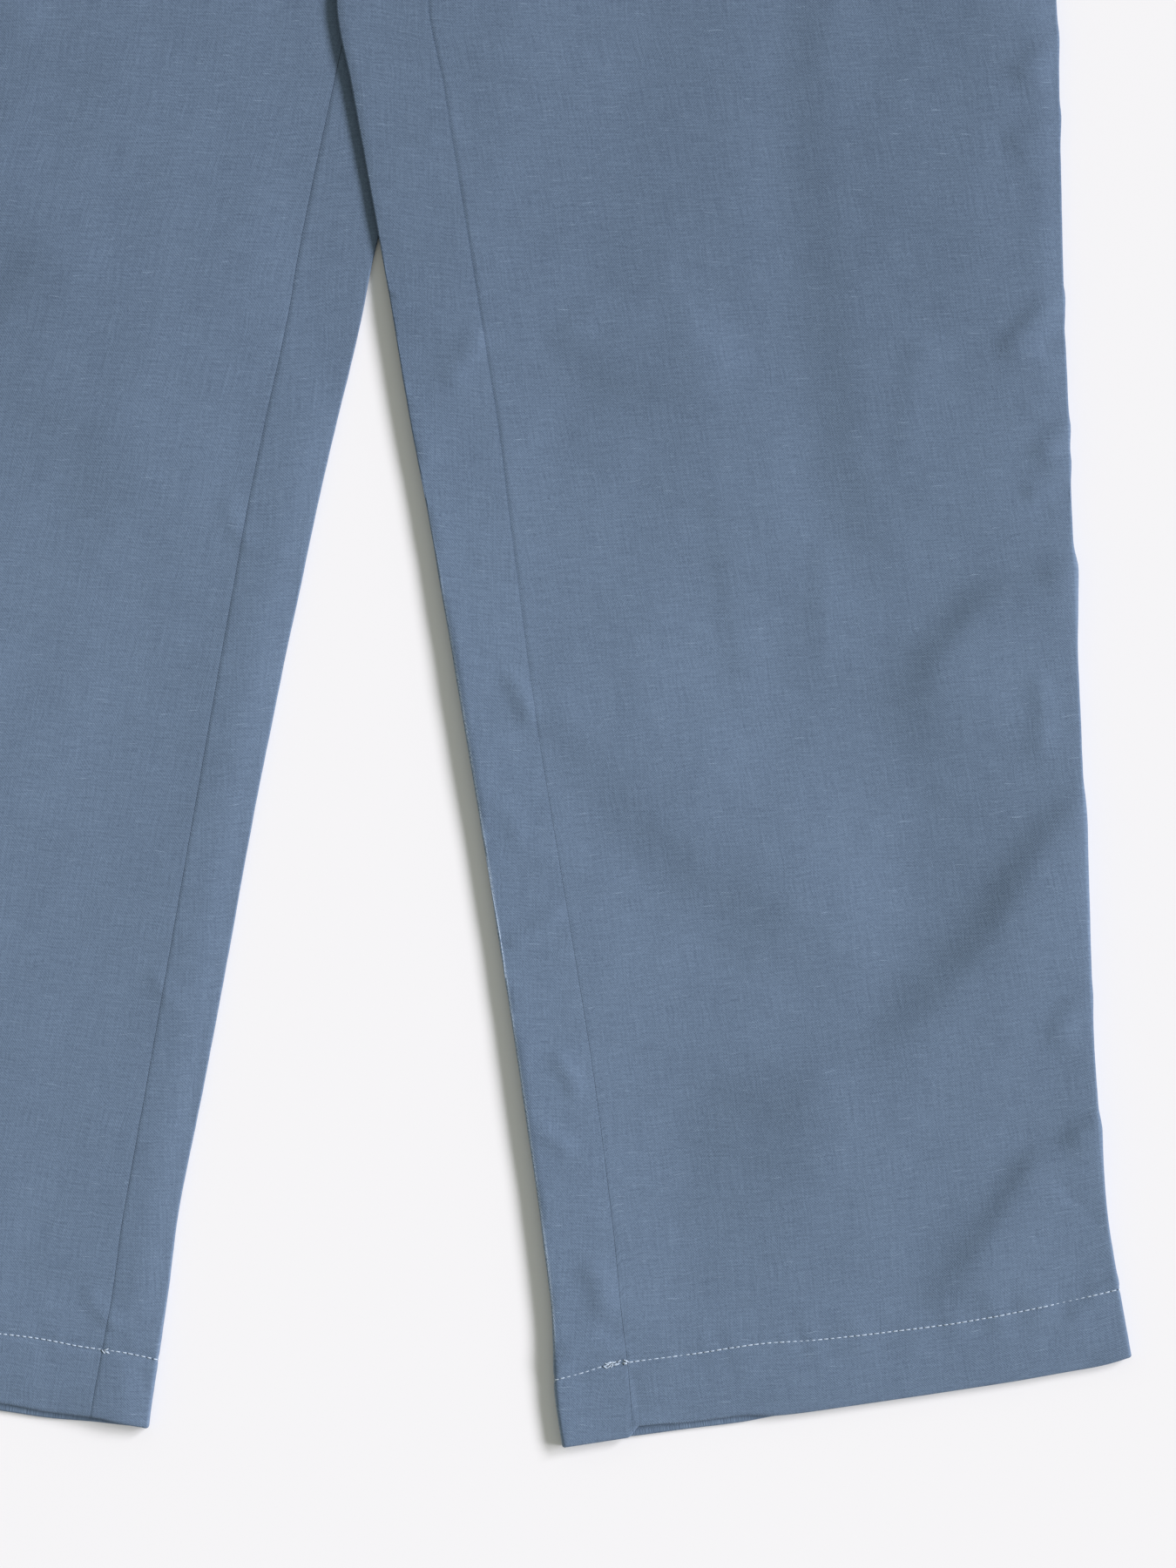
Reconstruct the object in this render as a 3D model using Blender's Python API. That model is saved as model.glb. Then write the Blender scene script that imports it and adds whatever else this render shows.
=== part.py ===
"""Linen trousers laid flat on their back, front up, waist towards +Y.

Each panel is one wall of cloth. Its middle surface is worked out row by row from the section table of
its leg, then given its thickness. Sizes are in millimetres from the crotch point, where the inseams
meet the rise. "Out" is the distance from the crotch point towards the leg's own side.
"""

import math
from collections import namedtuple

import bmesh
import bpy
import numpy as np

MM = 0.001

# Cloth and seams
WALL = 1.0
SEAM_GAP = 0.3
LAYER = WALL + SEAM_GAP
FLOOR_LAYER = WALL / 2

# Lengths along the garment, from the crotch point
WAIST_TOP = 280.0
BAND_DEPTH = 40.0
WAIST_SEAM = WAIST_TOP - BAND_DEPTH
HEM_DEPTH = 30.0
DROP_START = -450.0
DROP_FULL = -690.0

# Waistband, an elastic casing with the elastic in it
BAND_HALF_WIDTH = 200.0
BAND_WALL = 2.5
BAND_GROOVE = 0.8
BAND_RIBS = 16

# Gathers under the waistband
GATHERS = 8
GATHER_END = 105.0
LOWER_GATHER = 1.5
UPPER_GATHER = 2.0

# How loosely the front lies on the back
LOOSE = 0.9
EDGE_REACH = 40.0
FOLD_REACH = 70.0
FOLD_DEPTH = 1.7
SHOULDER_WIDTH = 9.0
SHOULDER_START = -225.0
SHOULDER_FULL = -290.0

# The front beside the side seam, and where its folds fade at a leg's edges and hem
SIDE_REACH = 100.0
SIDE_ROUND = 6.0
SIDE_FADE = 12.0
INNER_FADE = 25.0
HEM_CALM = 0.65
FOLD_START = 0.12
FOLD_END = 0.75

# The left leg lies over the right one near the crotch
LIFT_START = 4.5
LOWER_LIFT_RUN = 14.0
UPPER_LIFT_RUN = 95.0
LIFT_CLEAR = 1.6
COVER_NEAR = 25.0
COVER_FAR = 55.0
COVER_TOP = 40.0
COVER_END = -230.0
COVER_GONE = -275.0

# Mesh fineness
PANEL_COLUMNS = 16
STRIP_COLUMNS = 3
BEND_STEPS = 6
SIDE_STEPS = 3
HEM_BEND_STEPS = 3
SLOPE_STEP = 2.0

# Look of the solids
LINEN_BLUE = (104, 123, 147)
LINEN_ROUGHNESS = 0.9
SHARP_ANGLE = math.radians(40)

# station: distance along the leg, below the crotch where negative. fold: where the inner edge lies, out
# from the crotch point. strip: how much of the back panel shows on the front, from the inner fold to the
# inseam. outer: the side seam. crest: height between the two layers at the inner fold. lift: how far the
# leg rides up on the other one.
Section = namedtuple("Section", "station fold strip outer crest lift")

LEFT_SECTIONS = (
    Section(240.0, 0.0, 0.0, 199.0, 1.3, 0.0),
    Section(212.0, 0.0, 0.0, 222.0, 1.3, 0.0),
    Section(175.0, 0.0, 0.0, 244.0, 1.3, 0.0),
    Section(130.0, 0.0, 0.0, 261.0, 1.3, 0.0),
    Section(80.0, 0.0, 0.0, 274.0, 1.3, 0.0),
    Section(8.0, 0.0, 0.0, 288.0, 1.3, 0.0),
    Section(0.0, 0.0, 3.0, 289.0, 1.3, 0.0),
    Section(-20.0, 0.0, 5.0, 290.0, 1.3, 2.6),
    Section(-34.0, -12.0, 18.5, 290.8, 1.9, 2.6),
    Section(-52.0, -20.8, 30.3, 291.6, 2.2, 2.6),
    Section(-84.0, -25.2, 40.6, 292.6, 2.2, 2.6),
    Section(-122.0, -18.6, 40.5, 293.8, 1.7, 2.6),
    Section(-199.0, -4.7, 39.0, 295.3, 1.5, 2.6),
    Section(-225.0, -0.2, 38.5, 296.0, 2.4, 2.6),
    Section(-275.0, 8.2, 38.1, 298.0, 4.8, 0.0),
    Section(-315.0, 15.8, 35.4, 299.5, 4.8, 0.0),
    Section(-430.0, 35.4, 31.6, 304.2, 4.8, 0.0),
    Section(-545.0, 53.5, 32.1, 309.0, 4.8, 0.0),
    Section(-622.0, 64.7, 31.0, 315.3, 4.8, 0.0),
    Section(-661.0, 69.5, 30.2, 321.9, 4.8, 0.0),
    Section(-700.0, 71.2, 32.6, 329.0, 4.8, 0.0),
    Section(-722.6, 76.2, 30.0, 334.0, 4.8, 0.0),
)

RIGHT_SECTIONS = (
    Section(240.0, 0.0, 0.0, 199.0, 1.3, 0.0),
    Section(212.0, 0.0, 0.0, 223.0, 1.3, 0.0),
    Section(175.0, 0.0, 0.0, 246.0, 1.3, 0.0),
    Section(130.0, 0.0, 0.0, 265.0, 1.3, 0.0),
    Section(80.0, 0.0, 0.0, 280.0, 1.3, 0.0),
    Section(8.0, 0.0, 0.0, 296.0, 1.3, 0.0),
    Section(0.0, 0.0, 3.0, 297.0, 1.3, 0.0),
    Section(-20.0, 0.0, 5.0, 299.0, 1.3, 0.0),
    Section(-34.0, -10.0, 17.5, 300.5, 1.3, 0.0),
    Section(-52.0, -17.0, 28.5, 302.0, 1.3, 0.0),
    Section(-84.0, -16.9, 35.0, 304.5, 1.3, 0.0),
    Section(-122.0, -10.8, 37.0, 308.0, 1.3, 0.0),
    Section(-160.0, -1.2, 35.5, 312.0, 1.3, 0.0),
    Section(-199.0, 9.0, 33.0, 316.0, 1.3, 0.0),
    Section(-225.0, 14.0, 32.3, 317.2, 1.3, 0.0),
    Section(-275.0, 26.0, 31.0, 319.0, 1.6, 0.0),
    Section(-315.0, 35.0, 30.0, 320.5, 1.9, 0.0),
    Section(-430.0, 58.9, 26.2, 325.0, 1.9, 0.0),
    Section(-545.0, 80.0, 24.9, 336.0, 1.9, 0.0),
    Section(-622.0, 95.2, 23.2, 348.0, 1.9, 0.0),
    Section(-661.0, 100.2, 23.6, 354.5, 2.6, 0.0),
    Section(-700.0, 106.0, 24.8, 361.0, 3.9, 0.0),
    Section(-714.2, 107.8, 25.4, 363.5, 3.9, 0.0),
)

# How far each layer's hem hangs below the straight line between the leg's corners, below zero where it
# is drawn up. part: share of the way from the inner fold to the side seam.
HemPoint = namedtuple("HemPoint", "part lower upper")

LEFT_HEM = (
    HemPoint(0.0, 0.0, 0.0),
    HemPoint(0.115, 0.3, 0.3),
    HemPoint(0.135, 0.5, -4.0),
    HemPoint(0.22, 1.0, -2.1),
    HemPoint(0.32, 1.8, -1.2),
    HemPoint(0.38, 1.4, 1.2),
    HemPoint(0.48, 1.6, 2.0),
    HemPoint(0.78, 2.3, 2.7),
    HemPoint(0.88, 1.9, 2.3),
    HemPoint(0.95, 1.5, 1.8),
    HemPoint(1.0, 0.0, 0.0),
)

RIGHT_HEM = (
    HemPoint(0.0, 0.0, 0.0),
    HemPoint(0.045, 0.3, -0.7),
    HemPoint(0.1, 0.4, -2.0),
    HemPoint(0.18, 1.1, -1.8),
    HemPoint(0.26, 0.5, -3.0),
    HemPoint(0.4, 0.4, -2.0),
    HemPoint(0.6, 1.2, 1.4),
    HemPoint(0.85, 1.6, 2.0),
    HemPoint(1.0, 0.0, 0.0),
)

# How far the front stands up at the side seam, over what the layers need, and how much it is rounded off
# right beside the seam.
SidePoint = namedtuple("SidePoint", "station rise rounding")

SIDE_POINTS = (
    SidePoint(0.0, 0.0, 0.0),
    SidePoint(-100.0, 3.6, 1.4),
    SidePoint(-220.0, 3.6, 1.1),
    SidePoint(-330.0, 3.2, 0.6),
    SidePoint(-450.0, 3.3, 0.5),
    SidePoint(-560.0, 3.6, 0.5),
    SidePoint(-640.0, 2.4, 0.4),
    SidePoint(-690.0, 0.6, 0.1),
    SidePoint(-722.6, 0.0, 0.0),
)

# shoulder: how far the front rises from the inner fold inwards, below zero where it falls.
Leg = namedtuple("Leg", "name sign sections hem outer_hem shoulder")
LEFT = Leg("left", 1.0, LEFT_SECTIONS, LEFT_HEM, 682.6, -0.45)
RIGHT = Leg("right", -1.0, RIGHT_SECTIONS, RIGHT_HEM, 684.0, 1.4)

# The largest soft folds of the fronts, each a ridge along a line of points (x, y) from the crotch point.
# left and right: half widths beside the line, walking along it. rise: height of the ridge. widen: how many
# times wider the end is than the start.
Fold = namedtuple("Fold", "line left right rise widen")

FOLDS = (
    Fold(((330, -424), (303, -446), (284, -470), (269, -499), (249, -524), (222, -547), (190, -568), (140, -590)),
         26.0, 9.0, 3.2, 1.9),
    Fold(((300, -458), (284, -485), (272, -504), (252, -528), (224, -550), (192, -571), (120, -600)),
         34.0, 20.0, 3.2, 1.3),
    Fold(((318, -332), (299, -337), (276, -343), (257, -361), (239, -384), (200, -406)), 20.0, 8.0, 2.6, 1.5),
    Fold(((196, 60), (196, -60), (196, -135), (201, -186), (206, -232), (212, -289), (226, -325), (245, -352)),
         60.0, 15.0, 2.0, 1.2),
    Fold(((151, 40), (151, -140), (156, -215), (164, -300), (178, -370)), 16.0, 60.0, 1.2, 1.0),
    Fold(((60, -375), (79, -405), (100, -426), (126, -457), (151, -481), (190, -500), (240, -502)),
         40.0, 15.0, 1.8, 1.2),
    Fold(((335, -574), (312, -586), (289, -597), (278, -613), (265, -638), (243, -660), (205, -676)),
         18.0, 8.0, 2.4, 1.2),
    Fold(((-196, -150), (-168, -172), (-137, -203), (-101, -224), (-70, -262)), 40.0, 16.0, 2.7, 1.1),
    Fold(((-190, -225), (-145, -255), (-112, -285), (-84, -335)), 36.0, 22.0, 2.4, 1.1),
    Fold(((-318, -425), (-270, -455), (-230, -490), (-205, -540)), 22.0, 11.0, 2.6, 1.4),
    Fold(((10, -8), (45, 25), (92, 52), (150, 66)), 16.0, 11.0, 1.3, 1.5),
    Fold(((-12, -4), (-52, 24), (-100, 44), (-158, 52)), 11.0, 16.0, 1.3, 1.5),
)  # fmt: skip

# Rows of the panels, by station. The waist rows have twice the columns, for the gathers.
WAIST_ROWS = (239.85, 225.0, 206.0, 182.0, 152.0)
HIP_ROWS = (112.0, 74.0, 38.0, 2.0)
LEG_ROWS = (
    0.0, -10.0, -20.0, -27.0, -34.0, -43.0, -54.0, -69.0, -84.0, -102.0, -122.0, -160.0,
    -199.0, -225.0, -250.0, -275.0, -315.0, -338.0, -360.0, -382.0, -405.0, -427.0, -450.0,
    -472.0, -495.0, -520.0, -545.0, -567.0, -590.0, -610.0, -630.0,
)  # fmt: skip
HEM_ROWS_UP = (2 * HEM_DEPTH, HEM_DEPTH, HEM_DEPTH / 2, (LAYER + WALL) / 2)


def smooth(start, end, value):
    """Runs from 0 at start to 1 at end, level at both."""
    part = min(max((value - start) / (end - start), 0.0), 1.0)
    return part * part * (3.0 - 2.0 * part)


def section(leg, column, station):
    """Reads a height column of the leg's section table at a station, straight between its rows."""
    rows = leg.sections
    station = min(max(station, rows[-1].station), rows[0].station)
    below = next(k for k in range(1, len(rows)) if station >= rows[k].station)
    part = (rows[below - 1].station - station) / (rows[below - 1].station - rows[below].station)
    return getattr(rows[below - 1], column) * (1.0 - part) + getattr(rows[below], column) * part


def curve(rows, key, column, value):
    """Reads a column of a table against its key column, as a smooth curve through the rows."""
    keys = [getattr(row, key) for row in rows]
    heights = [getattr(row, column) for row in rows]
    value = min(max(value, min(keys)), max(keys))
    last = next(k for k in range(1, len(rows)) if (value - keys[k - 1]) * (value - keys[k]) <= 0.0)
    first = last - 1

    def slope(k):
        before = max(k - 1, 0)
        after = min(k + 1, len(rows) - 1)
        turns = (heights[before] - heights[k]) * (heights[k] - heights[after]) <= 0.0
        if before < k < after and turns:
            return 0.0
        return (heights[after] - heights[before]) / (keys[after] - keys[before])

    run = keys[last] - keys[first]
    part = (value - keys[first]) / run
    straight = heights[first] + (heights[last] - heights[first]) * smooth(0.0, 1.0, part)
    bow = slope(first) * (1.0 - part) - slope(last) * part
    return straight + bow * part * (1.0 - part) * run


def outline(leg, column, station):
    """Reads an outline column of the leg's section table at a station, as a smooth curve."""
    return curve(leg.sections, "station", column, station)


def inner_hem(leg):
    return -leg.sections[-1].station


def hem_zone(leg, station):
    """1 where the hem is turned up, fading to 0 above it."""
    above_hem = station + inner_hem(leg)
    return 1.0 - smooth(HEM_ROWS_UP[1], HEM_ROWS_UP[0], above_hem)


def side_station(leg, station):
    """Where the row meets the side seam. Below the crotch the rows tilt with the leg."""
    return station * leg.outer_hem / inner_hem(leg) if station < 0 else station


def row_ends(leg, station):
    """(out, along) of the row's inner edge and of its side seam."""
    side = side_station(leg, station)
    inner = (outline(leg, "fold", station) + SEAM_GAP / 2, station)
    outer = (outline(leg, "outer", side), side)
    return inner, outer


def square_to(leg, column, station):
    """(out, along) of the unit vector in plan that is square to an outline."""
    high = min(station + SLOPE_STEP, leg.sections[0].station)
    low = max(station - SLOPE_STEP, leg.sections[-1].station)
    change = outline(leg, column, high) - outline(leg, column, low)
    length = math.hypot(change, high - low)
    return (high - low) / length, -change / length


def plan(leg, layer, station, distance):
    """(out, along) of the point of a layer, lower or upper, at a distance from the row's inner edge."""
    inner, outer = row_ends(leg, station)
    part = distance / (outer[0] - inner[0])
    drop = curve(leg.hem, "part", layer, part) * smooth(DROP_START, DROP_FULL, station)
    return inner[0] + distance, inner[1] + (outer[1] - inner[1]) * part - drop


def row_width(leg, station):
    inner, outer = row_ends(leg, station)
    return outer[0] - inner[0]


def gather_zone(station):
    return smooth(GATHER_END, WAIST_SEAM, station)


def gather_wave(leg, station, distance):
    part = distance / row_width(leg, station)
    return (1.0 - math.cos(2 * math.pi * GATHERS * part)) / 2 * gather_zone(station)


def lift_start(leg, station):
    """Distance from the inner edge at which the lifted leg begins to come down to the floor."""
    if leg is RIGHT or station >= 0:
        return LIFT_START
    other_edge = -outline(RIGHT, "fold", station) + LIFT_CLEAR
    return max(LIFT_START, other_edge - outline(LEFT, "fold", station))


def lift(leg, station, distance, run):
    """How far the cloth rides up on the other leg, before it comes down over a run."""
    start = lift_start(leg, station)
    return section(leg, "lift", station) * smooth(start + run, start, distance)


def lower_height(leg, station, distance):
    """Height of the middle of the back's cloth where it lies on the floor or on the other leg."""
    gathers = LOWER_GATHER * gather_wave(leg, station, distance)
    return FLOOR_LAYER + gathers + lift(leg, station, distance, LOWER_LIFT_RUN)


def beside(fold, x, y):
    """The point's distance from a fold's line, how far along it that is, and on which side."""
    nearest = (math.inf, 0.0, False)
    for k, (a, b) in enumerate(zip(fold.line, fold.line[1:])):
        step = (b[0] - a[0], b[1] - a[1])
        part = ((x - a[0]) * step[0] + (y - a[1]) * step[1]) / (step[0] ** 2 + step[1] ** 2)
        part = min(max(part, 0.0), 1.0)
        away = (x - a[0] - step[0] * part, y - a[1] - step[1] * part)
        if math.hypot(*away) < nearest[0]:
            on_left = step[0] * away[1] - step[1] * away[0] > 0.0
            nearest = (math.hypot(*away), (k + part) / (len(fold.line) - 1), on_left)
    return nearest


def fold_relief(x, y):
    """Sum of the soft folds at a point of the front."""
    total = 0.0
    for fold in FOLDS:
        away, run, on_left = beside(fold, x, y)
        width = (fold.left if on_left else fold.right) * (1.0 + (fold.widen - 1.0) * run)
        ends = smooth(0.0, FOLD_START, run) * smooth(1.0, FOLD_END, run)
        total += fold.rise * ends * math.exp(-((away / width) ** 2))
    return total


def covered(leg, out, along):
    """1 where the right leg lies under the left one and is pressed flat, fading to 0 beside it."""
    if leg is LEFT:
        return 0.0
    other_edge = -outline(LEFT, "fold", along)
    past_edge = smooth(other_edge + COVER_NEAR, other_edge + COVER_FAR, out)
    below = smooth(COVER_END, COVER_GONE, along)
    above = smooth(0.0, COVER_TOP, along)
    return (1.0 - past_edge) * (1.0 - below) * (1.0 - above)


def shoulder(leg, station, distance):
    """How far the front has risen at a distance from the inner fold."""
    share = 1.0 - math.exp(-((distance / SHOULDER_WIDTH) ** 2))
    return leg.shoulder * share * smooth(SHOULDER_START, SHOULDER_FULL, station)


def side_height(station, to_side):
    """How far the front stands up at a distance from the side seam."""
    rise = curve(SIDE_POINTS, "station", "rise", station) * (1.0 - smooth(0.0, SIDE_REACH, to_side))
    rounding = curve(SIDE_POINTS, "station", "rounding", station)
    return rise - rounding * math.exp(-((to_side / SIDE_ROUND) ** 2))


def layer_height(leg, station, distance):
    """How far the front's cloth lies above the back's, middle to middle."""
    out, along = plan(leg, "upper", station, distance)
    to_side = row_width(leg, station) - distance
    inside = smooth(0.0, EDGE_REACH, to_side)
    if station > 0:
        inside *= smooth(0.0, EDGE_REACH, distance)
    near_fold = 1.0 - smooth(0.0, FOLD_REACH, distance)
    crest = section(leg, "crest", station) - LAYER + shoulder(leg, station, distance)
    folds = fold_relief(leg.sign * out, along) * smooth(0.0, SIDE_FADE, to_side)
    folds *= smooth(0.0, INNER_FADE, distance) * (1.0 - HEM_CALM * hem_zone(leg, station))
    free = LOOSE * inside * (1.0 - near_fold) + crest * near_fold + side_height(station, to_side) + folds
    height = LAYER + free * (1.0 - covered(leg, out, along))
    hem_height = max(3 * LAYER, height)
    height += (hem_height - height) * hem_zone(leg, station)
    clear = LOWER_GATHER * gather_zone(station) * smooth(0.0, EDGE_REACH, to_side)
    return height + clear


def upper_height(leg, station, distance):
    """Height of the middle of the cloth on the upper side."""
    base = FLOOR_LAYER + lift(leg, station, distance, UPPER_LIFT_RUN)
    gathers = UPPER_GATHER * gather_wave(leg, station, distance)
    return base + layer_height(leg, station, distance) + gathers


def point(leg, layer, station, distance, height):
    out, along = plan(leg, layer, station, distance)
    return (leg.sign * out, along, height)


def spaced(start, end, count):
    return [start + (end - start) * step / count for step in range(count + 1)]


def upper_row(leg, station, start, end, count):
    return [
        point(leg, "upper", station, distance, upper_height(leg, station, distance))
        for distance in spaced(start, end, count)
    ]


def lower_row(leg, station, start, end, count):
    """The row where the back lies below, with columns at the head and foot of the lifted stretch."""
    head = lift_start(leg, station)
    distances = [start, head] + spaced(head + LOWER_LIFT_RUN, end, count - 2)
    return [point(leg, "lower", station, d, lower_height(leg, station, d)) for d in distances]


def fold_bend(leg, station):
    """Half height, half depth and distance from the row's inner edge of the bend at the inner fold."""
    half_height = layer_height(leg, station, 0.0) / 2
    half_depth = min(half_height, FOLD_DEPTH)
    half_depth += (half_height - half_depth) * hem_zone(leg, station)
    lean = square_to(leg, "fold", station)[0]
    return half_height, half_depth / lean, (half_depth + WALL / 2) / lean


def fold_row(leg, station):
    """Points round the inner fold, from the upper layer down to the lower one, without its ends."""
    half_height, half_depth, centre = fold_bend(leg, station)
    floor = lower_height(leg, station, centre)
    points = []
    for step in range(1, BEND_STEPS):
        angle = math.pi / 2 + math.pi * step / BEND_STEPS
        distance = centre + half_depth * math.cos(angle)
        height = floor + half_height * (1.0 + math.sin(angle))
        points.append(point(leg, "lower", station, distance, height))
    return points


def side_centre(leg, station):
    """Distance from the row's inner edge of the middle of the bend at the side seam."""
    width = row_width(leg, station)
    lean = square_to(leg, "outer", side_station(leg, station))[0]
    return width - (layer_height(leg, station, width) + WALL) / 2 / lean


def side_row(leg, layer, station):
    """Points and normals from where a layer leaves its own level to the side seam, between the two."""
    side = 1.0 if layer == "upper" else -1.0
    centre = side_centre(leg, station)
    out, along = square_to(leg, "outer", side_station(leg, station))
    half_depth = layer_height(leg, station, row_width(leg, station)) / 2 / out
    low = lower_height(leg, station, centre)
    high = upper_height(leg, station, centre)
    half_height = (high - low) / 2
    seam_angle = math.asin(SEAM_GAP / 2 / half_height)
    if station == WAIST_ROWS[0]:
        out, along = 1.0, 0.0
    points = []
    normals = []
    for step in range(1, SIDE_STEPS + 1):
        angle = math.pi / 2 + (seam_angle - math.pi / 2) * step / SIDE_STEPS
        distance = centre + half_depth * math.cos(angle)
        height = (high + low) / 2 + side * half_height * math.sin(angle)
        points.append(point(leg, layer, station, distance, height))
        level = math.cos(angle)
        normals.append((leg.sign * out * level, along * level, side * math.sin(angle)))
    return points, normals


def panel_stations(leg):
    hem = -inner_hem(leg)
    return WAIST_ROWS + HIP_ROWS + LEG_ROWS + tuple(hem + up for up in HEM_ROWS_UP)


class Sheet:
    """The middle surface of one piece of cloth: points, faces, and rows joined from the waist down.

    facing is 1 where the faces, made row by row, look out of the garment, and -1 where they look in.
    """

    def __init__(self, facing):
        self.points = []
        self.faces = []
        self.facing = facing
        self.set_normals = {}

    def add(self, points, normals=()):
        """Adds a row of points, with their normals where these are known."""
        start = len(self.points)
        self.points.extend(tuple(p) for p in points)
        self.set_normals.update(zip(range(start, len(self.points)), normals))
        return list(range(start, len(self.points)))

    def join(self, upper, lower):
        """Faces between two rows. A row with twice the columns meets its coarser neighbour in threes."""
        if len(upper) == len(lower):
            for k in range(len(upper) - 1):
                self.faces.append((upper[k], lower[k], lower[k + 1], upper[k + 1]))
            return
        for k in range(len(lower) - 1):
            left, middle, right = upper[2 * k : 2 * k + 3]
            self.faces.append((lower[k], middle, left))
            self.faces.append((lower[k], lower[k + 1], middle))
            self.faces.append((lower[k + 1], right, middle))

    def join_all(self, rows):
        for upper, lower in zip(rows, rows[1:]):
            self.join(upper, lower)

    def normals(self):
        """Unit normal at each point, out of the garment, from the faces round it weighted by area."""
        points = np.array(self.points)
        total = np.zeros_like(points)
        for face in self.faces:
            corner = points[list(face)]
            across = np.cross(corner[2] - corner[0], corner[-1] - corner[1])
            if len(face) == 3:
                across = np.cross(corner[1] - corner[0], corner[2] - corner[0])
            total[list(face)] += across
        normals = self.facing * total / np.linalg.norm(total, axis=1, keepdims=True)
        for index, normal in self.set_normals.items():
            normals[index] = normal
        return normals

    def turn_up_hem(self, rows):
        """Folds the last row under and runs the cloth back up inside, a layer away from itself."""
        points = np.array(self.points)
        normals = self.normals()
        edge = rows[-1]
        self.set_normals.update(zip(edge, normals[edge]))
        along = points[edge] - points[rows[-2]]
        along /= np.linalg.norm(along, axis=1, keepdims=True)
        last = edge
        for step in range(1, HEM_BEND_STEPS + 1):
            angle = math.pi * step / HEM_BEND_STEPS
            forward = along * math.sin(angle) * LAYER / 2
            inward = normals[edge] * (1.0 - math.cos(angle)) * LAYER / 2
            turned_normals = normals[edge] * math.cos(angle) + along * math.sin(angle)
            row = self.add(points[edge] + forward - inward, turned_normals)
            self.join(last, row)
            last = row
        for source in reversed(rows[:-1]):
            row = self.add(points[source] - normals[source] * LAYER, -normals[source])
            self.join(last, row)
            last = row


def column_count(station):
    return 2 * PANEL_COLUMNS if station in WAIST_ROWS else PANEL_COLUMNS


def front_sheet(leg):
    """The front, from the centre seam or the inseam to the side seam."""
    sheet = Sheet(leg.sign)
    level_rows = []
    side_rows = []
    for station in panel_stations(leg):
        start = outline(leg, "strip", station) + SEAM_GAP if station <= 0 else 0.0
        end = side_centre(leg, station)
        level = sheet.add(upper_row(leg, station, start, end, column_count(station)))
        side = sheet.add(*side_row(leg, "upper", station))
        level_rows.append(level)
        side_rows.append(level[-1:] + side)
    sheet.join_all(level_rows)
    sheet.join_all(side_rows)
    hem_rows = [level + side[1:] for level, side in zip(level_rows, side_rows)]
    sheet.turn_up_hem(hem_rows[-len(HEM_ROWS_UP) + 1 :])
    return sheet


def back_sheet(leg):
    """The back, from the side seam under the leg, and below the crotch round the inner fold too."""
    sheet = Sheet(-leg.sign)
    level_rows = []
    side_rows = []
    wrap_rows = []
    for station in panel_stations(leg):
        start = fold_bend(leg, station)[2] if station <= 0 else 0.0
        end = side_centre(leg, station)
        level = sheet.add(lower_row(leg, station, start, end, column_count(station)))
        side = sheet.add(*side_row(leg, "lower", station))
        level_rows.append(level)
        side_rows.append(level[-1:] + side)
        if station <= 0:
            inseam = outline(leg, "strip", station)
            strip = sheet.add(upper_row(leg, station, inseam, start, STRIP_COLUMNS))
            wrap_rows.append(strip + sheet.add(fold_row(leg, station)) + level[:1])
    sheet.join_all(level_rows)
    sheet.join_all(side_rows)
    sheet.join_all(wrap_rows)
    turned = -len(HEM_ROWS_UP) + 1
    parts = zip(wrap_rows[turned:], level_rows[turned:], side_rows[turned:])
    sheet.turn_up_hem([wrap[:-1] + level + side[1:] for wrap, level, side in parts])
    return sheet


def thicken(sheet, outer_depth, inner_depth):
    """The wall round a middle surface: both sides, and a rim along each free edge."""
    points = np.array(sheet.points)
    normals = sheet.normals()
    outer = points + normals * np.reshape(outer_depth, (-1, 1))
    inner = points - normals * np.reshape(inner_depth, (-1, 1))
    mesh = bmesh.new()
    sides = [[mesh.verts.new(p * MM) for p in side] for side in (outer, inner)]
    edge_uses = {}
    for face in sheet.faces:
        mesh.faces.new([sides[0][k] for k in face])
        mesh.faces.new([sides[1][k] for k in reversed(face)])
        for a, b in zip(face, face[1:] + face[:1]):
            edge_uses.setdefault(frozenset((a, b)), []).append((a, b))
    for uses in edge_uses.values():
        if len(uses) == 1:
            a, b = uses[0]
            mesh.faces.new([sides[0][b], sides[0][a], sides[1][a], sides[1][b]])
    bmesh.ops.triangulate(mesh, faces=mesh.faces[:])
    bmesh.ops.recalc_face_normals(mesh, faces=mesh.faces[:])
    return mesh


def panel_mesh(sheet):
    depth = np.full(len(sheet.points), WALL / 2)
    return thicken(sheet, depth, depth)


def band_mesh():
    """The waistband: a flattened ring, grooved outside where the elastic draws it in."""
    sheet = Sheet(-1.0)
    bend_radius = (BAND_WALL + SEAM_GAP) / 2
    straight = BAND_HALF_WIDTH - BAND_WALL / 2 - bend_radius
    columns = 4 * BAND_RIBS
    low = BAND_WALL / 2
    high = low + 2 * bend_radius
    ring = []
    for side, height in ((-1.0, high), (1.0, low)):
        for step in range(columns):
            part = step / columns
            groove = BAND_GROOVE * (1.0 - math.cos(2 * math.pi * BAND_RIBS * part)) / 2
            ring.append((side * straight * (2 * part - 1.0), height, groove))
        ring += band_bend(side, straight, (low + high) / 2, bend_radius)
    seam = WAIST_SEAM + SEAM_GAP / 2
    levels = (WAIST_TOP, WAIST_TOP - BAND_DEPTH / 2, seam)
    rows = [sheet.add([(x, along, z) for x, z, _ in ring]) for along in levels]
    sheet.join_all([row + row[:1] for row in rows])
    grooves = np.tile([groove for _, _, groove in ring], len(levels))
    outer = BAND_WALL / 2 - grooves
    inner = np.full(len(sheet.points), BAND_WALL / 2)
    return thicken(sheet, outer, inner)


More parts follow.
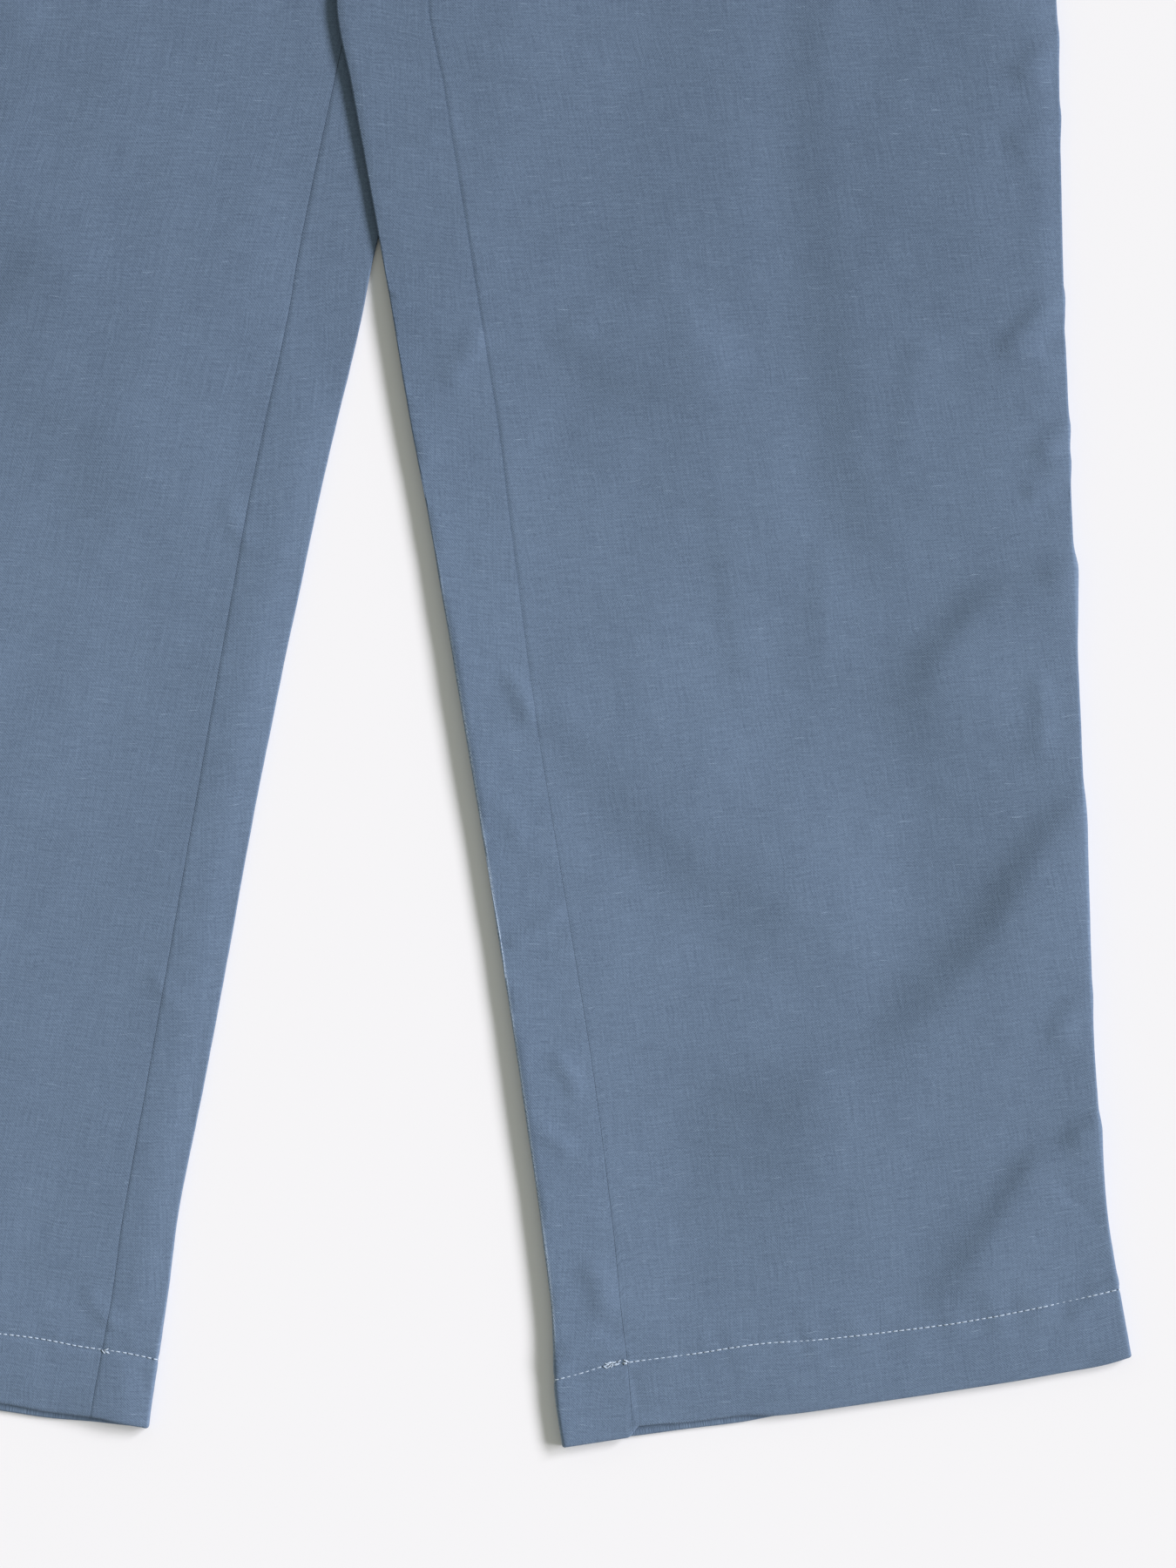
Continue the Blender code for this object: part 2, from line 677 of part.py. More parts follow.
def band_bend(side, straight, middle, radius):
    """Points round one end of the waistband. The start of the bend is there, its end is not."""
    points = []
    for step in range(BEND_STEPS):
        angle = math.pi * step / BEND_STEPS
        reach = straight + radius * math.sin(angle)
        points.append((side * reach, middle - side * radius * math.cos(angle), 0.0))
    return points


def linen_material(name):
    material = bpy.data.materials.new(name)
    material.use_nodes = True
    shader = material.node_tree.nodes["Principled BSDF"]
    linear = [((value / 255 + 0.055) / 1.055) ** 2.4 for value in LINEN_BLUE]
    shader.inputs["Base Color"].default_value = (*linear, 1.0)
    shader.inputs["Roughness"].default_value = LINEN_ROUGHNESS
    shader.inputs["Metallic"].default_value = 0.0
    return material


def place(name, mesh, parent):
    """Makes the named piece from its mesh, with its own material."""
    data = bpy.data.meshes.new(name)
    mesh.to_mesh(data)
    mesh.free()
    data.materials.append(linen_material(name + "_linen"))
    data.shade_smooth()
    data.set_sharp_from_angle(angle=SHARP_ANGLE)
    piece = bpy.data.objects.new(name, data)
    bpy.context.scene.collection.objects.link(piece)
    piece.parent = parent
    return piece


def centre_on_floor(pieces, crotch):
    """Moves the crotch point so that the middle of the whole outline stands over the origin."""
    corners = np.array([v.co for piece in pieces for v in piece.data.vertices])
    middle = (corners.min(axis=0) + corners.max(axis=0)) / 2
    crotch.location = (-middle[0], -middle[1], -corners[:, 2].min())


def main():
    for old in list(bpy.data.objects):
        bpy.data.objects.remove(old, do_unlink=True)
    crotch = bpy.data.objects.new("crotch_point", None)
    bpy.context.scene.collection.objects.link(crotch)
    pieces = []
    for leg in (LEFT, RIGHT):
        pieces.append(place("front_" + leg.name, panel_mesh(front_sheet(leg)), crotch))
        pieces.append(place("back_" + leg.name, panel_mesh(back_sheet(leg)), crotch))
    pieces.append(place("waistband", band_mesh(), crotch))
    centre_on_floor(pieces, crotch)


main()
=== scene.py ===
"""Linen trousers laid flat on their back, front up, waist towards +Y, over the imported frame.

Sizes are in millimetres from the crotch point, where the inseams meet the rise, and turn to metres when a
mesh is made. "Out" is the distance from the crotch point towards the leg's own side.
"""

import math
from collections import namedtuple

import bpy
import numpy as np
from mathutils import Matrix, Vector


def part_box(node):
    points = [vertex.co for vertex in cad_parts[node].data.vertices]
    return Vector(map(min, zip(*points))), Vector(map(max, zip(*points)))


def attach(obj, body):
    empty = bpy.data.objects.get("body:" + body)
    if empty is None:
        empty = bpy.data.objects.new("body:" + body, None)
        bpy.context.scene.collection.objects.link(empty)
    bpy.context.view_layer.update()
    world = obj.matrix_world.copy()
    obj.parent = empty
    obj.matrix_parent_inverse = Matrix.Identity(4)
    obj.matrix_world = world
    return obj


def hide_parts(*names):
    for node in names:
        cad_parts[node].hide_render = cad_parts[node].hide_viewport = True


bl_info = {
    "name": "Linen trousers, laid flat",
    "version": (1, 0, 0),
    "blender": (4, 5, 0),
    "location": "3D View > Sidebar > Trousers",
    "description": "Cloth, hem sewing and studio for a pair of linen trousers",
    "category": "Object",
}

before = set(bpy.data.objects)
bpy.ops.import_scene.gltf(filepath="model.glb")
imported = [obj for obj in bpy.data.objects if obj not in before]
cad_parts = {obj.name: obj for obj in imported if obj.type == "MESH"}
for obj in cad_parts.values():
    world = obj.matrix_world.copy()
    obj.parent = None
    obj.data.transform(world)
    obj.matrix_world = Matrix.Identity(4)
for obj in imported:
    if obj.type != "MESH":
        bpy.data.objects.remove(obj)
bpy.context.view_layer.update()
MM = 0.001

# The cloth's outer face lies on the solids' outer face, which is half their wall out from its middle. LAYER
# is the height from the back's middle to the front's, and TURN_LAYER from the hem's to its turn-up's.
SOLID_WALL = 1.0
SEAM_GAP = 0.3
LAYER = SOLID_WALL + SEAM_GAP
OUTER = SOLID_WALL / 2
FLOOR_LAYER = SOLID_WALL / 2
TURN_LAYER = 0.95

# Lengths along the garment, from the crotch point. The hem's unevenness grows over DROP_RUN.
WAIST_TOP = 280.0
BAND_DEPTH = 40.0
WAIST_SEAM = WAIST_TOP - BAND_DEPTH
HEM_DEPTH = 30.0
DROP_RUN = (-450.0, -690.0)

# Waistband
BAND_HALF_WIDTH = 200.0
BAND_WALL = 2.5
BAND_RIBS = 16

# Gathers under the waistband: how many to a leg, how far down they reach, and how high they stand
GATHERS = 8
GATHER_END = 105.0
LOWER_GATHER = 1.5
UPPER_GATHER = 2.0

# How loosely the front lies on the back, and how its cloth is bent at the inner fold
LOOSE = 0.9
EDGE_REACH = 40.0
FOLD_REACH = 70.0
FOLD_DEPTH = 0.2
FOLD_CRISPNESS = 0.5
SHOULDER_WIDTH = 9.0
SHOULDER_RUN = (-225.0, -290.0)

# The front beside the side seam
SIDE_REACH = 100.0
SIDE_ROUND = 6.0
SIDE_DEPTH = 0.9
LEAN_REACH = 45.0

# The left leg lies over the right one near the crotch
LIFT_START = 4.5
LOWER_LIFT_RUN = 14.0
UPPER_LIFT_RUN = 95.0
LIFT_CLEAR = 1.6
COVER_BESIDE = (25.0, 55.0)
COVER_TOP = 40.0
COVER_END = (-230.0, -275.0)

# Fineness of the mesh: bends, the hem, and the columns close to a seam, with their distances from it
BEND_STEPS = 14
SIDE_STEPS = 6
HEM_BEND_STEPS = 5
HEM_ROWS_ABOVE = 16
HEM_ZONE = 45.0
SLOPE_STEP = 2.0
LAST_ABOVE_CROTCH = 1.5
CLOSE_COLUMNS = (0.0, 0.5, 1.0, 1.7, 2.8)
SEAM_COLUMNS = 6
SEAM_ROWS = 4
FRONT_WIDTH = 250.0
BACK_WIDTH = 280.0
STRIP_WIDTH = 32.0
# Edges that turn by more than this are shaded sharp
SHARP = math.radians(60)

# A crease has its full height between these shares of its length, and is gone three half widths beside it
CREASE_START = 0.12
CREASE_END = 0.75
CREASE_REACH = 3
LINE_STEPS = 10
# Crumples, as waves in rows of (length, height), with how many of each and how their lengths vary
CRUMPLE_TOP = ((74.0, 0.09), (37.0, 0.045), (19.0, 0.02))
CRUMPLE_UNDER = ((60.0, 0.1), (30.0, 0.05))
EDGE_WOBBLE = ((46.0, 0.04), (17.0, 0.02), (8.0, 0.015))
TOP_SEED, UNDER_SEED, EDGE_SEED, RIPPLE_SEED, BAND_SEED = 3, 5, 7, 17, 11
WAVES_EACH = 5
WAVE_SPREAD = (0.8, 1.3)
# The doubled hem is stiffer, so it creases less
HEM_CALM = 0.35
HEM_CALM_RUN = (HEM_DEPTH - 4.0, HEM_DEPTH + 14.0)

# Seams
SEAM_DIP = 0.3
SEAM_DIP_WIDTH = 0.5
# The front keeps this part of the gap from the inseam's middle: the left one is pressed nearly shut
INSEAM_PARTS = {"left": 6, "right": 2}
# An inseam is pressed towards one side, so one edge sinks deeper into it than the other, and most above the
# knee
INSEAM_DIP_WIDTH = 0.75
INSEAM_DEPTHS = {"left": (0.26, 0.05), "right": (0.26, 0.15)}
INSEAM_SHALLOW = 0.04
INSEAM_RUN = (-480.0, -250.0)

# The hem's sewing draws the cloth in, unevenly and with ripples beside it
TURN_UP_START = HEM_DEPTH - 1.0
STITCH_DIP = 0.4
STITCH_DIP_WIDTH = 1.4
PUCKER = 0.5
PUCKER_LENGTHS = (2.1, 7.3)
RIPPLE_REACH = 11.0
RIPPLE_SLANT = 0.3
RIPPLE_WAVES = ((15.0, 0.055), (10.5, 0.03))
# The front's hem hangs down a little on what it lies on
HEM_DROOP = 0.95
HEM_DROOP_RUN = 9.0
HEM_DROOP_END = 25.0

# The thread. Each stitch starts at another place of its ply, and strays a little from its own place and
# length. HEADING_REACH: how far on both sides of it the row is looked at for its direction.
RING_SIDES = 6
PLY_STEP = 0.37
PITCH_SLACK = 0.12
LENGTH_SPREAD = (0.8, 1.08)
HEADING_REACH = 0.8
# Under the trousers it is pressed flat by the floor
PRESSED_THREAD = 0.12
# At each inseam the sewing runs back over itself in a heap of slanted stitches
TACK_STITCHES_PER_MM = 1.5
TACK_TURN = 1.0
TACK_WIDTH = 1.3
TACK_HEIGHT = 0.2
# Elsewhere the thread is drawn deeper into the cloth here and there, which hides most of it
DEEP = 0.28
DEEP_WAVES = ((44.0, 0.35), (16.0, 0.25))
DEEP_CHANCE = (-0.6, 0.4)
DEEP_SEED = 20
BAND_THREAD_SEED = 2

# The casing's mesh, its grooves and its sewing. Its gathered cloth is longer than the casing is round, and
# its face is flat where it slopes less than FLAT_SLOPE.
BAND_BEND_STEPS = 12
BAND_TOP_STEPS = 7
BAND_COLUMNS = 260
BAND_ROWS = 22
BAND_STRETCH = 1.35
FLAT_SLOPE = 0.01
GROOVE = 0.7
GROOVE_SHARES = (0.7, 0.3)
FINE_GROOVE = 0.3
FINE_GROOVES = 41
DRIFT_WAVES = ((90.0, 0.4), (23.0, 0.5))
DRIFT_SLANT = 3.0
BAND_SEWN_UP = 4.0
BAND_SEW_DIP = 0.5
BAND_SEW_WIDTH = 1.0

# The frame's own waistband gives the crotch point's place
BAND_LOW, BAND_HIGH = (np.array(corner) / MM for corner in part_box("waistband"))
CROTCH = np.array(((BAND_LOW[0] + BAND_HIGH[0]) / 2, BAND_HIGH[1] - WAIST_TOP, 0.0))

# Camera: straight above, at the photograph's angle. PHOTO_CENTRE is the point under it, from the crotch
# point, and PHOTO_HEIGHT the length that the longer side of the picture takes in.
PHOTO_CENTRE = (85.9, -430.0)
PHOTO_HEIGHT = 693.0
LENS = 85.0
SENSOR = 36.0

# Floor, in metres, and how far it lies below the cloth, clear of the thread
FLOOR_HALF = 6.0
FLOOR_CLEAR = 0.15
# Turns of the softbox's parts about its middle, in degrees, where the first stands and the step to the next,
# in metres, and the tints of its light and of the room's
SOFTBOX_ROW = (-20.0, 0.0, 20.0)
SOFTBOX_PLACE = (1.5, -0.1, 0.9)
SOFTBOX_STEP = 0.5
SOFTBOX_TINT = "#FAF8FE"
ROOM_TINT = "#FAFEF1"


def table(kind, *rows):
    """Rows of numbers under the names of their columns."""
    return tuple(kind(*row) for row in rows)


# station: distance along the leg, below the crotch where negative. fold: where the inner edge lies, out
# from the crotch point. strip: how much of the back panel shows on the front. outer: the side seam.
# crest: height between the two layers at the inner fold. lift: how far the leg rides up on the other one.
Section = namedtuple("Section", "station fold strip outer crest lift")

LEFT_SECTIONS = table(
    Section,
    (240, 0, 0, 199, 1.3, 0),
    (212, 0, 0, 222, 1.3, 0),
    (175, 0, 0, 244, 1.3, 0),
    (130, 0, 0, 261, 1.3, 0),
    (80, 0, 0, 274, 1.3, 0),
    (8, 0, 0, 288, 1.3, 0),
    (0, 0, 3, 289, 1.3, 0),
    (-20, 0, 5, 290, 1.3, 2.6),
    (-34, -12, 18.5, 290.8, 1.9, 2.6),
    (-52, -20.8, 30.3, 291.6, 2.2, 2.6),
    (-84, -25.2, 40.6, 292.6, 2.2, 2.6),
    (-122, -18.6, 40.5, 293.8, 1.7, 2.6),
    (-199, -4.7, 39, 295.3, 1.5, 2.6),
    (-225, -0.2, 38.5, 296, 2.4, 2.6),
    (-275, 8.2, 38.1, 298, 4.8, 0),
    (-315, 15.8, 35.4, 299.5, 4.8, 0),
    (-430, 35.4, 31.6, 304.2, 4.8, 0),
    (-545, 53.5, 32.1, 309, 4.8, 0),
    (-622, 64.7, 31, 315.3, 4.8, 0),
    (-661, 69.5, 30.2, 321.9, 4.8, 0),
    (-700, 71.2, 32.6, 329, 4.8, 0),
    (-722.6, 74.4, 31.2, 334, 4.8, 0),
)

RIGHT_SECTIONS = table(
    Section,
    (240, 0, 0, 199, 1.3, 0),
    (212, 0, 0, 223, 1.3, 0),
    (175, 0, 0, 246, 1.3, 0),
    (130, 0, 0, 265, 1.3, 0),
    (80, 0, 0, 280, 1.3, 0),
    (8, 0, 0, 296, 1.3, 0),
    (0, 0, 3, 297, 1.3, 0),
    (-20, 0, 5, 299, 1.3, 0),
    (-34, -10, 17.5, 300.5, 1.3, 0),
    (-52, -17, 28.5, 302, 1.3, 0),
    (-84, -16.9, 35, 304.5, 1.3, 0),
    (-122, -10.8, 37, 308, 1.3, 0),
    (-160, -1.2, 35.5, 312, 1.3, 0),
    (-199, 9, 33, 316, 1.3, 0),
    (-225, 14, 32.3, 317.2, 1.3, 0),
    (-275, 26, 31, 319, 1.6, 0),
    (-315, 35, 30, 320.5, 1.9, 0),
    (-430, 58.9, 26.2, 325, 1.9, 0),
    (-545, 80, 24.9, 336, 1.9, 0),
    (-622, 95.2, 23.2, 348, 1.9, 0),
    (-661, 100.2, 23.6, 354.5, 2.6, 0),
    (-700, 106, 24.8, 361, 3.9, 0),
    (-714.2, 107.8, 25.4, 363.5, 3.9, 0),
)

# How far each layer's hem hangs below the straight line between the leg's corners, below zero where it
# is drawn up. part: share of the way from the inner fold to the side seam.
HemPoint = namedtuple("HemPoint", "part lower upper")

LEFT_HEM = table(
    HemPoint,
    (0, 0, 0),
    (0.115, 0.3, 0.3),
    (0.135, 0.5, -4),
    (0.22, 1, -2.1),
    (0.32, 1.8, -1.2),
    (0.38, 1.4, 1.2),
    (0.48, 1.6, 2),
    (0.78, 2.3, 2.7),
    (0.88, 1.9, 2.3),
    (0.95, 1.5, 1.8),
    (1, 0, 0),
)

RIGHT_HEM = table(
    HemPoint,
    (0, 0, 0),
    (0.045, 0.3, -0.7),
    (0.1, 0.4, -2),
    (0.18, 1.1, -1.8),
    (0.26, 0.5, -3),
    (0.4, 0.4, -2),
    (0.6, 1.2, 1.4),
    (0.85, 1.6, 2),
    (1, 0, 0),
)

# How far the front stands up at the side seam, over what the layers need, how much it is rounded off right
# beside the seam, and how much more it leans up to it there.
SidePoint = namedtuple("SidePoint", "station rise rounding lean")

SIDE_POINTS = table(
    SidePoint,
    (0, 0, 0, 0),
    (-100, 3.6, 1.4, 0),
    (-220, 3.6, 1.1, 0.2),
    (-330, 3.2, 0.6, 1.1),
    (-450, 3.3, 0.4, 1.6),
    (-560, 3.6, 0.4, 1.8),
    (-640, 2.4, 0.3, 2.2),
    (-690, 0.6, 0.1, 1.6),
    (-722.6, 0, 0, 0.9),
)

# Where the hem is sewn down
SewnPoint = namedtuple("SewnPoint", "out along")

LEFT_SEWN = table(
    SewnPoint,
    (68, -693.4),
    (83.5, -689.5),
    (93.2, -686.5),
    (106.6, -684.5),
    (132.8, -681.1),
    (161.3, -676.8),
    (187.9, -674.9),
    (225.2, -670.7),
    (253.3, -666.8),
    (290.7, -659.5),
    (334, -649.3),
)

RIGHT_SEWN = table(
    SewnPoint,
    (100, -684.6),
    (118.2, -680.6),
    (137.1, -678),
    (155.5, -674.5),
    (174, -672.2),
    (364, -651),
)

# shoulder: how far the front rises from the inner fold inwards, below zero where it falls. tack: outs
# between which the hem's sewing runs back over itself.
Leg = namedtuple("Leg", "name sign sections hem outer_hem shoulder sewn tack")
LEFT = Leg("left", 1.0, LEFT_SECTIONS, LEFT_HEM, 682.6, -0.45, LEFT_SEWN, (93.2, 102.8))
RIGHT = Leg("right", -1.0, RIGHT_SECTIONS, RIGHT_HEM, 684.0, 1.4, RIGHT_SEWN, (125.1, 131.3))

# Soft folds and creases. left and right: half widths beside the line, walking along it, so that one side is
# steep and the other gentle. rise: height of the ridge, below zero for a trough. widen: how many times wider
# and higher the end is than the start. line: points (x, y) from the crotch point, x to the right.
Crease = namedtuple("Crease", "left right rise widen line")

TOP_CREASES = table(
    Crease,
    # The deep fold across the shin, and the one above it
    (
        20, 7.5, 2, 3.2,
        (
            (335, -410), (303, -441), (290, -458), (280, -476), (268, -498), (250, -522), (230, -543),
            (208, -558), (184, -568), (158, -572), (128, -570),
        ),
    ),
    (
        20, 7, 2.1, 1.9,
        (
            (352, -331), (325, -332), (297, -337), (276, -345), (260, -356), (246, -373), (234, -390),
            (212, -403),
        ),
    ),
    # The long soft valley down the thigh, between a broad ridge and the fuller cloth beside the side seam
    (
        60, 18, 2.2, 1.2,
        (
            (196, 60), (196, -60), (196, -135), (201, -186), (206, -232), (212, -289), (226, -325),
            (245, -352),
        ),
    ),
    (20, 60, 1, 1, ((151, 40), (151, -140), (156, -215), (164, -300), (178, -370))),
    # The wide bow from the inseam to the shin
    (
        40, 16, 1.9, 1.3,
        ((60, -370), (80, -400), (102, -423), (128, -450), (155, -470), (195, -484), (245, -488)),
    ),
    # Above the hem, beside the side seam
    (
        14, 4.5, 1.35, 2.4,
        (
            (332, -572), (311, -583), (294, -593), (284, -598), (277, -609), (265, -630), (250, -650),
            (229, -668),
        ),
    ),
    # Dent on the thigh
    (15, 10, 1, 2.2, ((72, -222), (90, -237), (112, -245), (134, -243), (156, -230))),
    # Faint long streaks
    (10, 5, 0.35, 1.2, ((142, -290), (147, -335), (154, -375), (161, -410))),
    (8, 4, 0.35, 1, ((189, -320), (189, -350), (191, -385))),
    (9, 5, 0.4, 1, ((232, -230), (228, -262), (222, -300))),
    # Small creases at the side seam
    (7, 4, 1.1, 1.3, ((300, -92), (286, -108), (272, -122))),
    (8, 4, 1.1, 1.2, ((300, -132), (284, -141), (268, -150))),
    (6, 3, 1.1, 1.3, ((302, -212), (287, -219), (276, -232), (266, -243))),
    (4, 2.5, -0.7, 1.2, ((303, -226), (290, -233), (283, -243))),
    (5, 3, 1, 1.3, ((304, -268), (293, -276), (281, -289))),
    (5, 3, 0.9, 1.2, ((304, -284), (288, -296), (276, -303))),
    (4, 2.5, -0.6, 1.2, ((306, -300), (292, -304), (280, -313))),
    (3.5, 5, 0.6, 1.2, ((284, -380), (287, -400), (285, -424))),
    (7, 4, 0.8, 1.2, ((312, -520), (298, -530), (290, -548))),
    (6, 3, 0.65, 1.5, ((330, -566), (311, -577), (294, -590))),
    (7, 3.5, 0.65, 1.5, ((326, -320), (304, -331), (284, -345))),
    # On the strip and along the inseam
    (5, 3, 0.9, 1.1, ((24, -254), (32, -243), (41, -229))),
    (5, 3, 0.5, 1.1, ((12, -150), (20, -142), (30, -138))),
    (5, 3, 0.9, 1.1, ((50, -380), (56, -392), (61, -406))),
    (3.5, 2.4, 1, 1.1, ((50, -502), (62, -495), (78, -485))),
    (4, 2.5, 0.8, 1.1, ((70, -548), (77, -558), (82, -572))),
    (4, 2.5, 0.8, 1.1, ((63, -580), (71, -588), (80, -590))),
    (5, 3, 0.45, 1.1, ((44, -438), (52, -447), (56, -460))),
    # Round the hem's sewing
    (6, 4, 0.9, 1.1, ((84, -640), (91, -652), (92, -666))),
    (3.5, 2.4, 1.1, 1, ((70, -689), (80, -684), (92, -680), (106, -677))),
    (4, 2.6, 0.8, 1, ((74, -681), (84, -676), (96, -673))),
    (3.5, 2, -0.9, 1, ((104, -686), (107, -697), (108, -712))),
    (3.5, 2.5, 0.35, 1, ((150, -700), (157, -690), (160, -676))),
    (5, 3, 1.1, 1.2, ((330, -644), (314, -652), (304, -662), (292, -676))),
    (4, 3, 0.3, 1, ((232, -676), (226, -688), (224, -702))),
    # The other leg: the wide bow across the knee and what runs beside it
    (42, 24, 1.7, 1.1, ((-196, -150), (-168, -172), (-137, -203), (-101, -224), (-70, -262))),
    (40, 28, 1.9, 1.1, ((-190, -225), (-145, -255), (-112, -285), (-84, -335))),
    (20, 10, 0.8, 1, ((-205, -110), (-180, -100), (-150, -88))),
    (18, 9, 1.4, 1.3, ((-290, -318), (-240, -345), (-205, -372), (-178, -410))),
    (22, 11, 2.6, 1.4, ((-318, -425), (-270, -455), (-230, -490), (-205, -540))),
    (14, 8, 1.2, 1.2, ((-345, -560), (-300, -585), (-272, -620), (-262, -650))),
    (8, 4, 0.7, 1.2, ((-312, -180), (-290, -196), (-272, -220))),
    (6, 4, 0.6, 1.2, ((-318, -250), (-298, -262), (-284, -282))),
    (5, 3, 0.4, 1, ((-74, -300), (-70, -318), (-58, -330))),
    (5, 3, 0.4, 1, ((-108, -510), (-100, -524), (-92, -530))),
    (5, 3, 0.6, 1, ((-136, -652), (-128, -664), (-118, -672))),
    (4, 2.5, 0.5, 1, ((-165, -700), (-160, -688), (-158, -674))),
    (3.5, 2.5, 0.5, 1, ((-140, -704), (-137, -692), (-139, -676))),
    (3, 2, 0.5, 1, ((-119, -700), (-117, -690), (-121, -680))),
    # Round the crotch and the hips
    (16, 11, 1.3, 1.5, ((10, -8), (45, 25), (92, 52), (150, 66))),
    (16, 9, 1, 1.4, ((8, -30), (60, -14), (118, -10), (170, -22))),
    (11, 16, 1.3, 1.5, ((-12, -4), (-52, 24), (-100, 44), (-158, 52))),
    (9, 16, 1, 1.4, ((270, 66), (228, 74), (180, 98), (150, 132))),
    (16, 9, 1, 1.4, ((-276, 60), (-236, 72), (-196, 92), (-160, 128))),
    (9, 6, 0.8, 1.4, ((60, 200), (66, 160), (80, 118))),
    (9, 6, 0.8, 1.4, ((150, 205), (146, 168), (132, 130))),
    (6, 9, 0.8, 1.4, ((-70, 204), (-78, 160), (-94, 116))),
    (6, 9, 0.8, 1.4, ((-160, 200), (-152, 160), (-136, 122))),
)

# The underside, pressed by the floor: shallower, and drawn up from it
UNDER_CREASES = table(
    Crease,
    (16, 8, 0.9, 1.3, ((300, -300), (250, -345), (200, -372), (150, -380))),
    (10, 20, 0.9, 1.2, ((100, -470), (160, -505), (225, -520), (290, -510))),
    (12, 7, 0.7, 1.2, ((290, -590), (240, -612), (200, -645))),
    (14, 8, 0.8, 1.2, ((60, -130), (120, -170), (190, -185), (250, -172))),
    (12, 8, 0.6, 1.1, ((280, -60), (262, -120), (256, -190))),
    (8, 5, 0.5, 1.1, ((110, -600), (128, -560), (138, -520))),
    (14, 8, 0.9, 1.2, ((-280, -330), (-230, -352), (-180, -350), (-120, -330))),
    (18, 9, 0.9, 1.3, ((-330, -480), (-280, -520), (-225, -540), (-160, -535))),
    (10, 6, 0.6, 1.1, ((-320, -620), (-270, -640), (-240, -668))),
    (8, 14, 0.8, 1.2, ((-90, -120), (-150, -160), (-220, -170))),
    (8, 12, 0.6, 1.1, ((-290, -70), (-272, -130), (-268, -200))),
    (14, 8, 0.9, 1.4, ((15, 10), (70, 30), (130, 70), (180, 130))),
    (8, 14, 0.9, 1.4, ((-15, 14), (-80, 40), (-140, 84), (-176, 140))),
    (12, 7, 0.6, 1.2, ((240, 20), (200, 60), (170, 110))),
    (7, 12, 0.6, 1.2, ((-250, 16), (-206, 50), (-180, 96))),
)


def smooth(start, end, value):
    """Runs from 0 at start to 1 at end, level at both."""
    part = np.clip((value - start) / (end - start), 0.0, 1.0)
    return part * part * (3.0 - 2.0 * part)


def section(leg, column, station):
    """Reads a height column of the leg's section table, straight between its rows."""
    rows = leg.sections[::-1]
    return np.interp(station, [row.station for row in rows], [getattr(row, column) for row in rows])


def curve(rows, key, column, value):
    """Reads a column of a table against its key column, as a smooth curve through the rows."""
    keys = np.array([getattr(row, key) for row in rows])
    heights = np.array([getattr(row, column) for row in rows])
    if keys[0] > keys[-1]:
        keys, heights = keys[::-1], heights[::-1]
    steps = np.diff(heights) / np.diff(keys)
    slopes = (heights[2:] - heights[:-2]) / (keys[2:] - keys[:-2])
    slopes[steps[1:] * steps[:-1] <= 0.0] = 0.0
    slopes = np.concatenate((steps[:1], slopes, steps[-1:]))
    value = np.clip(value, keys[0], keys[-1])
    first = np.clip(np.searchsorted(keys, value, side="right") - 1, 0, len(keys) - 2)
    run = keys[first + 1] - keys[first]
    part = (value - keys[first]) / run
    straight = heights[first] + (heights[first + 1] - heights[first]) * smooth(0.0, 1.0, part)
    bow = slopes[first] * (1.0 - part) - slopes[first + 1] * part
    return straight + bow * part * (1.0 - part) * run


def outline(leg, column, station):
    return curve(leg.sections, "station", column, station)


def inner_hem(leg):
    return -leg.sections[-1].station


def hem_zone(leg, station):
    """1 where the hem is turned up, fading to 0 above it."""
    return 1.0 - smooth(HEM_DEPTH, 2 * HEM_DEPTH, station + inner_hem(leg))


def side_station(leg, station):
    """Where the row meets the side seam. Below the crotch the rows tilt with the leg."""
    return np.where(station < 0, station * leg.outer_hem / inner_hem(leg), station)


def row_width(leg, station):
    inner = outline(leg, "fold", station) + SEAM_GAP / 2
    return outline(leg, "outer", side_station(leg, station)) - inner


def plan(leg, layer, station, distance):
    """(out, along) of the point of a layer, lower or upper, at a distance from the row's inner edge."""
    part = distance / row_width(leg, station)
    drop = curve(leg.hem, "part", layer, part) * smooth(*DROP_RUN, station)
    along = station + (side_station(leg, station) - station) * part - drop
    return outline(leg, "fold", station) + SEAM_GAP / 2 + distance, along


def lean(leg, column, station):
    """How much a row leans against square to an outline: 1 where it is square."""
    high = np.minimum(station + SLOPE_STEP, leg.sections[0].station)
    low = np.maximum(station - SLOPE_STEP, leg.sections[-1].station)
    change = outline(leg, column, high) - outline(leg, column, low)
    return (high - low) / np.hypot(change, high - low)


def gather_zone(station):
    return smooth(GATHER_END, WAIST_SEAM, station)


def gather_wave(leg, station, distance):
    part = distance / row_width(leg, station)
    return (1.0 - np.cos(2 * math.pi * GATHERS * part)) / 2 * gather_zone(station)


def lift(leg, station, distance, run):
    """How far the cloth rides up on the other leg, before it comes down over a run."""
    start = LIFT_START
    if leg is LEFT:
        other_edge = -outline(RIGHT, "fold", station) + LIFT_CLEAR
        start = np.where(station < 0, np.maximum(start, other_edge - outline(LEFT, "fold", station)), start)
    return section(leg, "lift", station) * smooth(start + run, start, distance)


def lower_height(leg, station, distance):
    """Height of the middle of the back's cloth where it lies on the floor or on the other leg."""
    gathers = LOWER_GATHER * gather_wave(leg, station, distance)
    return FLOOR_LAYER + gathers + lift(leg, station, distance, LOWER_LIFT_RUN)


